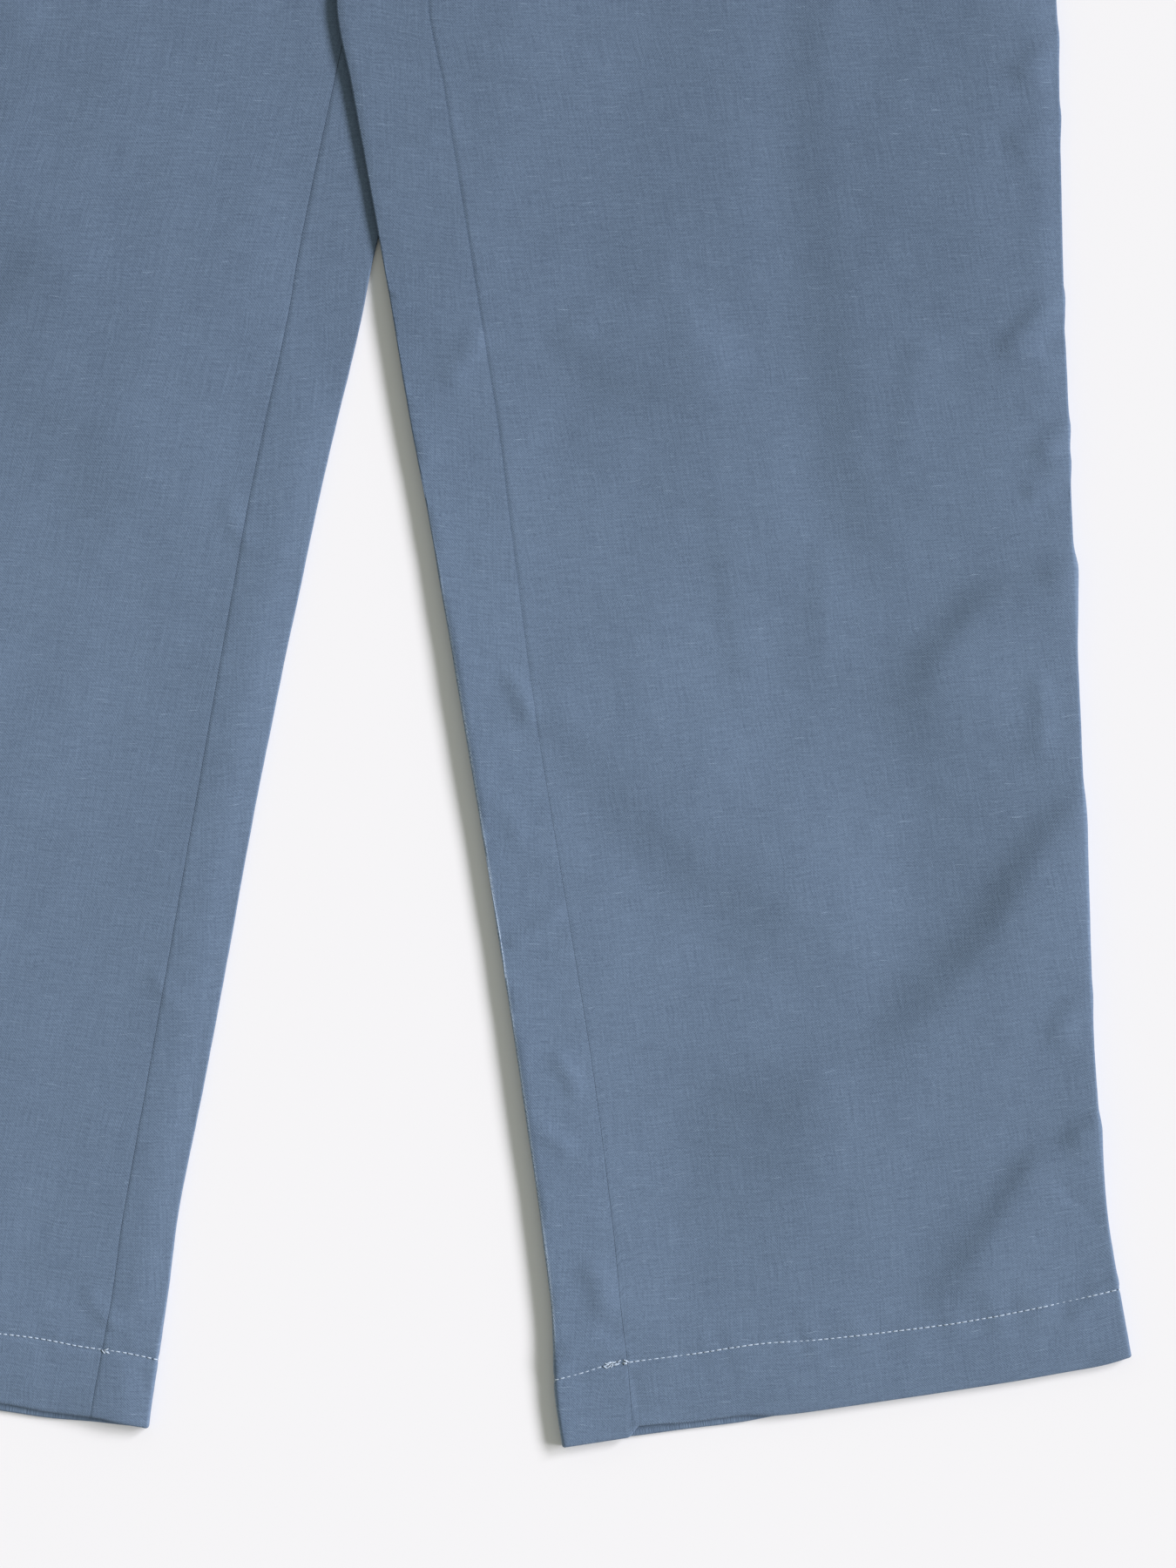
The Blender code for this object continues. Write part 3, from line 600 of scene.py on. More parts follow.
def covered(leg, out, along):
    """1 where the right leg lies under the left one and is pressed flat, fading to 0 beside it."""
    if leg is LEFT:
        return 0.0
    near, far = (reach - outline(LEFT, "fold", along) for reach in COVER_BESIDE)
    beside = smooth(near, far, out)
    below = smooth(*COVER_END, along)
    above = smooth(0.0, COVER_TOP, along)
    return (1.0 - beside) * (1.0 - below) * (1.0 - above)


def shoulder(leg, station, distance):
    """How far the front has risen at a distance from the inner fold."""
    share = 1.0 - np.exp(-((distance / SHOULDER_WIDTH) ** 2))
    return leg.shoulder * share * smooth(*SHOULDER_RUN, station)


def side_height(station, to_side):
    """How far the front stands up at a distance from the side seam."""
    rise = curve(SIDE_POINTS, "station", "rise", station) * (1.0 - smooth(0.0, SIDE_REACH, to_side))
    rounding = curve(SIDE_POINTS, "station", "rounding", station)
    beside = np.clip(1.0 - to_side / LEAN_REACH, 0.0, 1.0)
    leaning = curve(SIDE_POINTS, "station", "lean", station) * beside**2
    return rise + leaning - rounding * np.exp(-((to_side / SIDE_ROUND) ** 2))


def layer_height(leg, station, distance):
    """How far the front's cloth lies above the back's, middle to middle."""
    out, along = plan(leg, "upper", station, distance)
    to_side = row_width(leg, station) - distance
    inside = smooth(0.0, EDGE_REACH, to_side)
    inside = inside * np.where(station > 0, smooth(0.0, EDGE_REACH, distance), 1.0)
    near_fold = 1.0 - smooth(0.0, FOLD_REACH, distance)
    crest = section(leg, "crest", station) - LAYER + shoulder(leg, station, distance)
    free = LOOSE * inside * (1.0 - near_fold) + crest * near_fold + side_height(station, to_side)
    height = LAYER + free * (1.0 - covered(leg, out, along))
    height = height + (np.maximum(3 * LAYER, height) - height) * hem_zone(leg, station)
    return height + LOWER_GATHER * gather_zone(station) * smooth(0.0, EDGE_REACH, to_side)


def upper_height(leg, station, distance):
    """Height of the middle of the cloth on the upper side."""
    base = FLOOR_LAYER + lift(leg, station, distance, UPPER_LIFT_RUN)
    gathers = UPPER_GATHER * gather_wave(leg, station, distance)
    return base + layer_height(leg, station, distance) + gathers


# A patch of the cloth's middle surface: grids of places (x, y, z) and of the weave's own lengths across
# and along the grain.
Patch = namedtuple("Patch", "places weave")


def patch(leg, layer, station, distance, height, across):
    out, along = plan(leg, layer, station, distance)
    station = station + np.zeros_like(across)
    return Patch(np.stack((leg.sign * out, along, height), -1), np.stack((leg.sign * across, station), -1))


def upper_patch(leg, station, distance):
    return patch(leg, "upper", station, distance, upper_height(leg, station, distance), distance)


def lower_patch(leg, station, distance):
    return patch(leg, "lower", station, distance, lower_height(leg, station, distance), -distance)


def bend_depth(leg, station, half_height, depth):
    """Half depth of a pressed bend, round where the hem is turned up inside it."""
    pressed = np.minimum(half_height, depth)
    return pressed + (half_height - pressed) * hem_zone(leg, station)


def fold_centre(leg, station):
    """Half height, half depth and distance from the row's inner edge of the bend at the inner fold."""
    half_height = layer_height(leg, station, np.zeros_like(station)) / 2
    half_depth = bend_depth(leg, station, half_height, FOLD_DEPTH)
    square = lean(leg, "fold", station)
    return half_height, half_depth / square, (half_depth + OUTER) / square


def crisp(share):
    """Pushes a bend towards a squarer one, pressed sharp along its top and bottom."""
    return np.sign(share) * np.abs(share) ** FOLD_CRISPNESS


def fold_patch(leg, station):
    """The bend round the inner fold, from the upper layer down to the lower one."""
    half_height, half_depth, centre = fold_centre(leg, station)
    angle = math.pi / 2 + math.pi * np.arange(1, BEND_STEPS) / BEND_STEPS
    height = lower_height(leg, station, centre) + half_height * (1.0 + crisp(np.sin(angle)))
    distance = centre + half_depth * crisp(np.cos(angle))
    across = centre - half_height * (angle - math.pi / 2)
    return patch(leg, "lower", station, distance, height, across)


def side_bend(leg, station):
    """Half depth and distance from the row's inner edge of the bend at the side seam."""
    width = row_width(leg, station)
    half_depth = bend_depth(leg, station, layer_height(leg, station, width) / 2, SIDE_DEPTH)
    square = lean(leg, "outer", side_station(leg, station))
    return half_depth / square, width - (half_depth + OUTER) / square


def side_patch(leg, layer, station):
    """From where a layer leaves its own level to the side seam, half way between the two."""
    side = 1.0 if layer == "upper" else -1.0
    half_depth, centre = side_bend(leg, station)
    low = lower_height(leg, station, centre)
    high = upper_height(leg, station, centre)
    half_height = (high - low) / 2
    seam_angle = np.arcsin((SEAM_GAP / 4 / half_height) ** (1 / FOLD_CRISPNESS))
    angle = math.pi / 2 + (seam_angle - math.pi / 2) * np.arange(1, SIDE_STEPS + 1) / SIDE_STEPS
    height = (high + low) / 2 + side * half_height * crisp(np.sin(angle))
    distance = centre + half_depth * crisp(np.cos(angle))
    across = side * centre + side * half_height * (math.pi / 2 - angle)
    return patch(leg, layer, station, distance, height, across)


def row_stations(leg, step):
    """Rows from the waist to the hem, closer together at the hem, as one column."""
    hem = -inner_hem(leg)
    waist = WAIST_SEAM - SEAM_GAP / 2
    above = np.linspace(waist, LAST_ABOVE_CROTCH, round(WAIST_SEAM / step))
    below = np.linspace(0.0, hem + HEM_ZONE, round(-hem / step))
    last = np.linspace(hem + HEM_ZONE, hem + TURN_LAYER / 2 + OUTER, round(2 * HEM_ZONE / step))
    return np.concatenate((above, below, last[1:])).reshape(-1, 1)


def spread(step, width, near_start, near_end):
    """Shares from 0 to 1 across a row, with closer columns at the ends that ask for them."""
    close = np.array(CLOSE_COLUMNS) / width
    inside = np.linspace(0.0, 1.0, round(width / step))[1:-1]
    start = close if near_start else close[:1]
    end = 1.0 - close[::-1] if near_end else np.ones(1)
    inside = inside[(inside > start[-1]) & (inside < end[0])]
    return np.concatenate((start, inside, end))


def smooth_line(points):
    """A soft curve through the given points."""
    points = np.array(points, float)
    ends = np.concatenate((2 * points[:1] - points[1:2], points, 2 * points[-1:] - points[-2:-1]))
    part = np.linspace(0.0, 1.0, LINE_STEPS, endpoint=False).reshape(-1, 1)
    line = []
    for before, a, b, after in zip(ends, ends[1:], ends[2:], ends[3:]):
        bow = (2 * before - 5 * a + 4 * b - after) * part**2 + (3 * a - before - 3 * b + after) * part**3
        line.append((2 * a + (b - before) * part + bow) / 2)
    return np.concatenate(line + [points[-1:]])


def crease_height(x, y, creases):
    """Height that the creases add at the points."""
    total = np.zeros_like(x)
    for crease in creases:
        line = smooth_line(crease.line)
        reach = CREASE_REACH * max(crease.left, crease.right) * crease.widen
        low, high = line.min(axis=0) - reach, line.max(axis=0) + reach
        near = (x > low[0]) & (x < high[0]) & (y > low[1]) & (y < high[1])
        if not near.any():
            continue
        step = np.diff(line, axis=0)
        to_point = np.stack((x[near], y[near]), -1)[:, None, :] - line[:-1]
        part = np.clip((to_point * step).sum(-1) / (step * step).sum(-1), 0.0, 1.0)
        away = to_point - part[..., None] * step
        nearest = (away * away).sum(-1).argmin(axis=1)
        rows = np.arange(len(nearest))
        away, part, step = away[rows, nearest], part[rows, nearest], step[nearest]
        left = step[:, 0] * away[:, 1] - step[:, 1] * away[:, 0] > 0.0
        run = (nearest + part) / (len(line) - 1)
        grown = 1.0 + (crease.widen - 1.0) * run
        width = np.where(left, crease.left, crease.right) * grown
        ends = smooth(0.0, CREASE_START, run) * smooth(1.0, CREASE_END, run)
        total[near] += crease.rise * grown * ends * np.exp(-(away * away).sum(-1) / width**2)
    return total


def crumple(x, y, seed, waves):
    """Slight unevenness of pressed linen. waves: rows of (length, height)."""
    chance = np.random.default_rng(seed)
    total = np.zeros_like(x + y)
    for length, height in waves:
        for _ in range(WAVES_EACH):
            turn, start = chance.uniform(0.0, 2 * math.pi, 2)
            pitch = length * chance.uniform(*WAVE_SPREAD)
            along = x * math.cos(turn) + y * math.sin(turn)
            total += height * np.sin(along * 2 * math.pi / pitch + start)
    return total


class Cloth:
    """A piece of cloth as its middle surface: points, their place in the weave, and joined faces."""

    def __init__(self, leg, facing):
        self.leg = leg
        self.facing = facing
        self.places = np.zeros((0, 3))
        self.weave = np.zeros((0, 2))
        self.faces = []

    def add(self, added):
        """Adds a patch and gives the numbers of its points, row by row."""
        shape = added.places.shape[:2]
        start = len(self.places)
        self.places = np.concatenate((self.places, added.places.reshape(-1, 3)))
        self.weave = np.concatenate((self.weave, added.weave.reshape(-1, 2)))
        return np.arange(start, len(self.places)).reshape(shape)

    def join(self, grid):
        corners = (grid[:-1, :-1], grid[1:, :-1], grid[1:, 1:], grid[:-1, 1:])
        self.faces.append(np.stack(corners, -1).reshape(-1, 4))

    def all_faces(self):
        return np.concatenate(self.faces)

    def normals(self):
        """Unit normal at each point, out of the garment, from the faces round it weighted by area."""
        faces = self.all_faces()
        corner = self.places[faces]
        across = np.cross(corner[:, 2] - corner[:, 0], corner[:, 3] - corner[:, 1])
        total = np.zeros_like(self.places)
        for k in range(4):
            np.add.at(total, faces[:, k], across)
        return self.facing * total / np.linalg.norm(total, axis=1, keepdims=True)

    def crease(self):
        """Moves the middle surface by the creases, the crumples and the wobble of its folded edges."""
        normals = self.normals()
        x, y = self.places[:, 0], self.places[:, 1]
        up, down = np.clip(normals[:, 2], 0.0, 1.0), np.clip(-normals[:, 2], 0.0, 1.0)
        free = 1.0 - covered(self.leg, self.leg.sign * x, y)
        above_hem = y - np.interp(self.leg.sign * x, *hem_line(self.leg))
        calm = HEM_CALM + (1.0 - HEM_CALM) * smooth(*HEM_CALM_RUN, above_hem)
        top = crease_height(x, y, TOP_CREASES) + crumple(x, y, TOP_SEED, CRUMPLE_TOP)
        under = crease_height(x, y, UNDER_CREASES) + crumple(x, y, UNDER_SEED, CRUMPLE_UNDER)
        edge = crumple(0.0 * x, y, EDGE_SEED, EDGE_WOBBLE) * (1.0 - up - down)
        move = top * free * calm * up - np.maximum(under, 0.0) * down * calm + edge
        self.places += normals * move[:, None]

    def dip(self, columns, offsets, depth=SEAM_DIP, width=SEAM_DIP_WIDTH):
        """Draws the cloth in along a seam: columns of points, and how far each is from the seam."""
        move = self.normals() * np.reshape(depth, (-1, 1))
        for column, offset in zip(columns.T, offsets):
            self.places[column] -= move[column] * math.exp(-((offset / width) ** 2))

    def dip_inseam(self, columns, offsets):
        """Draws the cloth in along the inseam, on the side that is pressed down into it."""
        high, low = INSEAM_DEPTHS[self.leg.name]
        front = self.facing == self.leg.sign
        station = self.weave[:, 1]
        depth = low + (high - low) * smooth(*INSEAM_RUN, station)
        pressed = front == (self.leg is LEFT)
        self.dip(columns, offsets, depth if pressed else INSEAM_SHALLOW, INSEAM_DIP_WIDTH)

    def droop(self, grid):
        """Lets the hem hang down between the two seams."""
        up = self.weave[grid][..., 1] + inner_hem(self.leg)
        across = np.abs(self.weave[grid][..., 0])
        start, end = across[:, :1], across[:, -1:]
        inside = smooth(start, start + HEM_DROOP_END, across) * smooth(end, end - HEM_DROOP_END, across)
        self.places[grid, 2] -= HEM_DROOP * np.exp(-((up / HEM_DROOP_RUN) ** 2)) * inside

    def turn_up_hem(self, grid):
        """Folds the last row under and runs the cloth back up inside."""
        normals = self.normals()
        edge = grid[-1]
        forward = self.places[edge] - self.places[grid[-2]]
        forward /= np.linalg.norm(forward, axis=1, keepdims=True)
        rows = []
        for step in range(1, HEM_BEND_STEPS + 1):
            angle = math.pi * step / HEM_BEND_STEPS
            reach = forward * math.sin(angle) * TURN_LAYER / 2
            inward = normals[edge] * (1.0 - math.cos(angle)) * TURN_LAYER / 2
            weave = self.weave[edge] - (0.0, TURN_LAYER / 2 * angle)
            rows.append((self.places[edge] + reach - inward, weave))
        for source in grid[-2::-1]:
            weave = 2 * self.weave[edge] - self.weave[source]
            rows.append((self.places[source] - normals[source] * TURN_LAYER, weave))
        turned = self.add(Patch(*(np.stack(fields) for fields in zip(*rows))))
        self.join(np.concatenate((edge[None], turned)))

    def shell(self, name, thickness, material):
        """Makes the closed shell: both sides of the cloth, and a rim along each free edge."""
        faces = self.all_faces()
        normals = self.normals()
        count = len(self.places)
        places = [self.places + normals * level for level in (OUTER, OUTER - thickness)]
        places = np.concatenate(places)
        places[:, 2] = np.maximum(places[:, 2], 0.0)
        sides = np.stack((faces, np.roll(faces, -1, axis=1)), -1).reshape(-1, 2)
        _, where, uses = np.unique(np.sort(sides, axis=1), axis=0, return_index=True, return_counts=True)
        a, b = sides[where[uses == 1]].T
        rim = np.stack((b, a, a + count, b + count), -1)
        every = np.concatenate((faces, faces[:, ::-1] + count, rim))
        if self.facing < 0:
            every = every[:, ::-1]
        weave = np.concatenate((self.weave, self.weave))
        return make_mesh(name, places + CROTCH, every, weave, material)


def hem_line(leg):
    """Plain line between the leg's bottom corners, as (outs, alongs)."""
    last = leg.sections[-1]
    return (last.fold, last.outer), (last.station, -leg.outer_hem)


def hem_start(stations, leg):
    """First row of the turned up hem."""
    return int(np.argmin(np.abs(stations[:, 0] + inner_hem(leg) - TURN_UP_START)))


def sewn_along(leg, out):
    return curve(leg.sewn, "out", "along", out)


def sew_down(cloth, grid):
    """Draws the cloth in along the hem's row of stitches, with small ripples on both sides of it."""
    normals = cloth.normals()
    x, y = cloth.places[grid][..., 0], cloth.places[grid][..., 1]
    away = y - sewn_along(cloth.leg, cloth.leg.sign * x)
    short, long = PUCKER_LENGTHS
    pucker = 1.0 + PUCKER * np.sin(x / short) * np.sin(x / long)
    depth = STITCH_DIP * pucker * np.exp(-((away / STITCH_DIP_WIDTH) ** 2))
    ripple = crumple(x + RIPPLE_SLANT * y, 0.0 * y, RIPPLE_SEED, RIPPLE_WAVES)
    ripple = ripple * np.exp(-((away / RIPPLE_REACH) ** 2))
    cloth.places[grid] += normals[grid] * (ripple - depth)[..., None]


def sewn_row(cloth, grid):
    """Points on the cloth's outer face, and normals, where the sewing crosses each of its columns."""
    normals = cloth.normals()[grid]
    places = cloth.places[grid] + normals * OUTER
    above = places[..., 1] - sewn_along(cloth.leg, cloth.leg.sign * places[..., 0])
    column = np.arange(grid.shape[1])
    row = (above > 0.0).sum(axis=0) - 1
    before, after = (row, column), (row + 1, column)
    part = (above[before] / (above[before] - above[after]))[:, None]
    return [field[before] * (1.0 - part) + field[after] * part for field in (places, normals)]


def finish_panel(cloth, grid, stations, inseam, offsets, top):
    """Creases a panel, sews its hem, sinks its inseam and its waist seam, and turns the hem up."""
    cloth.crease()
    hem = hem_start(stations[-len(grid) :], cloth.leg)
    if cloth.facing == cloth.leg.sign:
        cloth.droop(grid[hem:])
    sew_down(cloth, grid[hem - HEM_ROWS_ABOVE :])
    cloth.dip_inseam(inseam[:, :SEAM_COLUMNS], offsets[:SEAM_COLUMNS])
    cloth.dip(top[:SEAM_ROWS].T, stations[0, 0] - stations[:SEAM_ROWS, 0])
    cloth.turn_up_hem(grid[hem:])
    return cloth, grid


def front_cloth(leg, steps):
    """The front, from the centre seam or the inseam to the side seam. Gives the cloth and its top rows."""
    stations = row_stations(leg, steps.row_step / MM)
    apart = SEAM_GAP / INSEAM_PARTS[leg.name]
    start = np.where(stations <= 0, outline(leg, "strip", stations) + apart, 0.0)
    shares = spread(steps.column_step / MM, FRONT_WIDTH, True, False)
    cloth = Cloth(leg, leg.sign)
    width = side_bend(leg, stations)[1] - start
    level = cloth.add(upper_patch(leg, stations, start + shares * width))
    side = cloth.add(side_patch(leg, "upper", stations))
    grid = np.concatenate((level, side), axis=1)
    cloth.join(grid)
    return finish_panel(cloth, grid, stations, level, shares * FRONT_WIDTH, level)


def back_cloth(leg, steps):
    """The back, from the side seam under the leg, and below the crotch round the inner fold too."""
    stations = row_stations(leg, steps.row_step / MM)
    legs = stations[:, 0] <= 0
    start = np.where(stations <= 0, fold_centre(leg, stations)[2], 0.0)
    shares = spread(steps.column_step / MM, BACK_WIDTH, False, False)
    cloth = Cloth(leg, -leg.sign)
    width = side_bend(leg, stations)[1] - start
    level = cloth.add(lower_patch(leg, stations, start + shares * width))
    side = cloth.add(side_patch(leg, "lower", stations))
    under = np.concatenate((level, side), axis=1)
    inseam = outline(leg, "strip", stations[legs]) - SEAM_GAP / 4
    shares = spread(steps.column_step / MM, STRIP_WIDTH, True, False)
    strip = cloth.add(upper_patch(leg, stations[legs], inseam + shares * (start[legs] - inseam)))
    bend = cloth.add(fold_patch(leg, stations[legs]))
    wrap = np.concatenate((strip, bend, level[legs][:, :1]), axis=1)
    cloth.join(under)
    cloth.join(wrap)
    grid = np.concatenate((wrap[:, :-1], under[legs]), axis=1)
    return finish_panel(cloth, grid, stations, strip, shares * STRIP_WIDTH, under)


def add_object(name, data):
    """Puts a mesh, a lamp or a camera in the scene."""
    added = bpy.data.objects.new(name, data)
    bpy.context.scene.collection.objects.link(added)
    return added


def make_mesh(name, places, faces, weave, material):
    """Makes an object from points in millimetres, its faces, and their places in the weave."""
    data = bpy.data.meshes.new(name)
    data.from_pydata((places * MM).tolist(), [], faces.tolist())
    layer = data.uv_layers.new(name="weave")
    corners = np.empty(len(data.loops), np.int32)
    data.loops.foreach_get("vertex_index", corners)
    layer.data.foreach_set("uv", weave[corners].astype(np.float32).ravel())
    data.materials.append(material)
    data.shade_smooth()
    data.set_sharp_from_angle(angle=SHARP)
    return add_object(name, data)


def linear(text):
    """Linear colour of an sRGB hex value."""
    parts = [int(text[k : k + 2], 16) / 255 for k in (1, 3, 5)]
    return tuple(p / 12.92 if p <= 0.04045 else ((p + 0.055) / 1.055) ** 2.4 for p in parts)


def add_node(tree, kind, inputs=None, out=0, **settings):
    """Adds a node with its settings, and its inputs as a value or a socket to link from. Gives an output."""
    node = tree.nodes.new("ShaderNode" + kind)
    for name, value in settings.items():
        setattr(node, name, value)
    for socket, value in (inputs or {}).items():
        if isinstance(value, bpy.types.NodeSocket):
            tree.links.new(value, node.inputs[socket])
        else:
            node.inputs[socket].default_value = value
    return node.outputs[out]


def new_material(name, finish):
    """A material, with the numbers that are the same all over it set on its shader."""
    material = bpy.data.materials.new(name)
    material.use_nodes = True
    shader = material.node_tree.nodes["Principled BSDF"]
    for socket, value in finish.items():
        shader.inputs[socket].default_value = value
    return material, material.node_tree, shader


# Patterns of the yarn. across and along: size of one mark in millimetres. detail and rough: how broken up
# it is. share: how much of the step from the dark yarn to the light one it moves the colour by. lift: its
# part in the relief.
Yarn = namedtuple("Yarn", "name across along detail rough share lift")
YARNS = table(
    Yarn,
    # Linen yarn is spun from long uneven fibres, so each thread is thicker and paler in places
    ("weft", 13.0, 0.8, 1.5, 0.6, 0.8, 0.4),
    ("warp", 0.8, 24.0, 1.5, 0.6, 0.6, 0.3),
    # The threads are 0.55 mm apart. They are drawn as marks of about 1 mm, so that they show in the render
    ("fleck", 1.3, 1.0, 3.0, 0.6, 1.15, 0.6),
    ("cloud", 34.0, 60.0, 2.0, 0.6, 0.25, 0.0),
)
# Marks over it, between two levels of their pattern. share: how much of their own colour they take.
Mark = namedtuple("Mark", "name across along detail rough start full share lift")
MARKS = table(
    Mark,
    # Slubs: thick, pale lengths of weft, 4 to 17 mm long and one thread thick
    ("slub", 10.0, 0.75, 2.0, 0.5, 0.66, 0.76, 0.5, 0.4),
    # Specks: bits of the flax's bark that were spun in, about 1 mm across
    ("speck", 1.4, 1.1, 1.0, 0.4, 0.7, 0.78, 0.6, 0.0),
)
# Pale fibres stand out of the left leg's folded edge, and the same pale mark is a painted highlight on
# the bend there, which turns away from the lamp into its own shade. Lengths across the grain from the edge
# of the row where the mark begins, is full, still full, and gone; and lengths along it.
FIBRE_AND_HIGHLIGHT = Mark("fibre", 0.6, 0.9, 1.0, 0.5, 0.3, 0.62, 0.5, 0.3)
HIGHLIGHT_ACROSS = ((1.6, 0.6), (-4.5, -3.0))
HIGHLIGHT_ALONG = (-290.0, -400.0)
# The threads' distance, and the part in the relief of their going over and under
THREAD_PITCH = 0.55
THREAD_LIFT = 0.22
# The grain isn't quite straight: it strays by this much, about once in 9 mm
GRAIN_STRAY = 2.4
GRAIN_SCALE = 0.11
# The back panel's grain lies at a small angle where it wraps round the inner fold
BACK_TURN = math.radians(9)
# Painted shade: the cloth's tone is lower towards the waist, standing in for the weaker light on the
# garment's upper part. The stations between which it changes, and its tones there, by socket
WAIST_PAINTED_SHADE = {1: -350.0, 2: -190.0, 3: 0.5, 4: 0.31}
RELIEF_DEPTH = 0.28 * MM
RELIEF_STRENGTH = 0.7
LINEN_FINISH = {
    "Roughness": 0.88,
    "Specular IOR Level": 0.22,
    "Sheen Weight": 0.12,
    "Sheen Roughness": 0.5,
    "Sheen Tint": (*linear("#C9D6E6"), 1.0),
}
THREAD_FINISH = {"Roughness": 0.5, "Sheen Weight": 0.2}
# The thread's ply, as shades about a third of a millimetre long
PLY_SCALE = 3.0
FLOOR_FINISH = {"Roughness": 0.9, "Specular IOR Level": 0.1}
# The paint is uneven over most of a metre, and by this share of its brightness
PAINT_SCALE = 1.3
PAINT_SHADE = 0.985


def marks(tree, place, row):
    """Uneven marks of the size that a row of a table gives."""
    size = (1 / row.across, 1 / row.along, 0.0)
    scaled = add_node(tree, "VectorMath", {0: place, 1: size}, operation="MULTIPLY")
    inputs = {"Vector": scaled, "Scale": 1.0, "Detail": row.detail, "Roughness": row.rough}
    return add_node(tree, "TexNoise", inputs, label=row.name)


def linen_material(name, colours, bias=0.0, painted_highlight=False):
    """Plain-woven, washed linen: matt, with pale slubs in the weft, fine flecks and a low sheen of loose
    fibres.
    On the left leg's folded edge, also pale fibres and a painted highlight.
    """
    material, tree, shader = new_material(name, LINEN_FINISH)
    place = add_node(tree, "UVMap", uv_map="weave")
    across, station, _ = add_node(tree, "SeparateXYZ", {0: place}).node.outputs
    turned = add_node(tree, "VectorRotate", {"Vector": place, "Angle": bias}, rotation_type="Z_AXIS")
    wander = add_node(tree, "TexNoise", {"Vector": turned, "Scale": GRAIN_SCALE, "Detail": 1.0}, "Color")
    stray = (GRAIN_STRAY, GRAIN_STRAY, 0.0)
    bent = add_node(tree, "VectorMath", {0: wander, 1: stray, 2: turned}, operation="MULTIPLY_ADD")

    # Tone and relief of the yarn, and its threads going over and under each other
    # The tone starts lower towards the waist: painted shade
    tone = add_node(tree, "MapRange", {0: station, **WAIST_PAINTED_SHADE}, interpolation_type="SMOOTHSTEP")
    relief = 0.0
    for yarn in YARNS:
        mark = add_node(tree, "Math", {0: marks(tree, bent, yarn), 1: 0.5}, operation="SUBTRACT")
        tone = add_node(tree, "Math", {0: mark, 1: yarn.share, 2: tone}, operation="MULTIPLY_ADD")
        relief = add_node(tree, "Math", {0: mark, 1: yarn.lift, 2: relief}, operation="MULTIPLY_ADD")
    turn = math.pi / THREAD_PITCH
    threads = add_node(tree, "VectorMath", {0: bent, 1: (turn, turn, 0.0)}, operation="MULTIPLY")
    waves = add_node(tree, "VectorMath", {0: threads}, operation="SINE")
    over, under, _ = add_node(tree, "SeparateXYZ", {0: waves}).node.outputs
    crossing = add_node(tree, "Math", {0: over, 1: under}, operation="MULTIPLY")
    relief = add_node(tree, "Math", {0: crossing, 1: THREAD_LIFT, 2: relief}, operation="MULTIPLY_ADD")
    yarns = {"Factor": tone, 6: (*colours.dark_yarn, 1.0), 7: (*colours.light_yarn, 1.0)}
    colour = add_node(tree, "Mix", yarns, 2, data_type="RGBA")

    # Marks on it; on the left leg's folded edge, pale fibres that are also a painted highlight on the bend's
    # shade
    for mark in MARKS + (FIBRE_AND_HIGHLIGHT,) * painted_highlight:
        most = mark.share
        if mark is FIBRE_AND_HIGHLIGHT:
            for where, (start, end) in ((across, HIGHLIGHT_ACROSS[0]), (across, HIGHLIGHT_ACROSS[1]), (station, HIGHLIGHT_ALONG)):
                most = add_node(tree, "MapRange", {0: where, 1: start, 2: end, 4: most})
        level = marks(tree, bent, mark)
        shown = add_node(tree, "MapRange", {0: level, 1: mark.start, 2: mark.full, 4: most})
        mixed = {"Factor": shown, 6: colour, 7: (*getattr(colours, mark.name), 1.0)}
        colour = add_node(tree, "Mix", mixed, 2, data_type="RGBA")
        relief = add_node(tree, "Math", {0: shown, 1: mark.lift, 2: relief}, operation="MULTIPLY_ADD")
    inputs = {"Strength": RELIEF_STRENGTH, "Distance": RELIEF_DEPTH, "Height": relief}
    tree.links.new(colour, shader.inputs["Base Color"])
    tree.links.new(add_node(tree, "Bump", inputs), shader.inputs["Normal"])
    return material


def thread_material(colours):
    """Spun polyester thread, paler and smoother than the cloth, with painted shade where it sinks into its
    holes.
    """
    material, tree, shader = new_material("sewing_thread", THREAD_FINISH)
    place = add_node(tree, "UVMap", uv_map="weave")
    ply = add_node(tree, "TexNoise", {"Vector": place, "Scale": PLY_SCALE, "Detail": 2.0})
    sunk = add_node(tree, "SeparateXYZ", {0: place})
    colour = (*colours.thread_shade, 1.0)
    for factor, other in ((ply, colours.thread), (sunk, colours.needle_hole)):
        mixed = {"Factor": factor, 6: colour, 7: (*other, 1.0)}
        colour = add_node(tree, "Mix", mixed, 2, data_type="RGBA")
    tree.links.new(colour, shader.inputs["Base Color"])
    return material


def floor_material(colours):
    """Painted board, rolled with matt white emulsion: almost even, and without shine."""
    material, tree, shader = new_material("matt_painted_board", FLOOR_FINISH)
    place = add_node(tree, "TexCoord", out="Object")
    drift = add_node(tree, "TexNoise", {"Vector": place, "Scale": PAINT_SCALE, "Detail": 2.0})
    shade = (*(PAINT_SHADE * part for part in colours.floor), 1.0)
    mixed = {"Factor": drift, 6: shade, 7: (*colours.floor, 1.0)}
    tree.links.new(add_node(tree, "Mix", mixed, 2, data_type="RGBA"), shader.inputs["Base Color"])
    return material


# A stitch, from end to end. along: place as a share of the thread that shows. high and size: height above
# the cloth and thickness, as shares of the thread's own. sunk: 1 where it is down in its needle hole, where
# it takes the hole's painted shade.
Ring = namedtuple("Ring", "along high size sunk")
RINGS = table(
    Ring,
    (-0.72, -0.3, 0.75, 1.0),
    (-0.58, -0.12, 0.9, 1.0),
    (-0.48, 0.1, 1.0, 0.0),
    (0.0, 0.26, 1.1, 0.0),
    (0.48, 0.1, 1.0, 0.0),
    (0.58, -0.12, 0.9, 1.0),
    (0.72, -0.3, 0.75, 1.0),
)


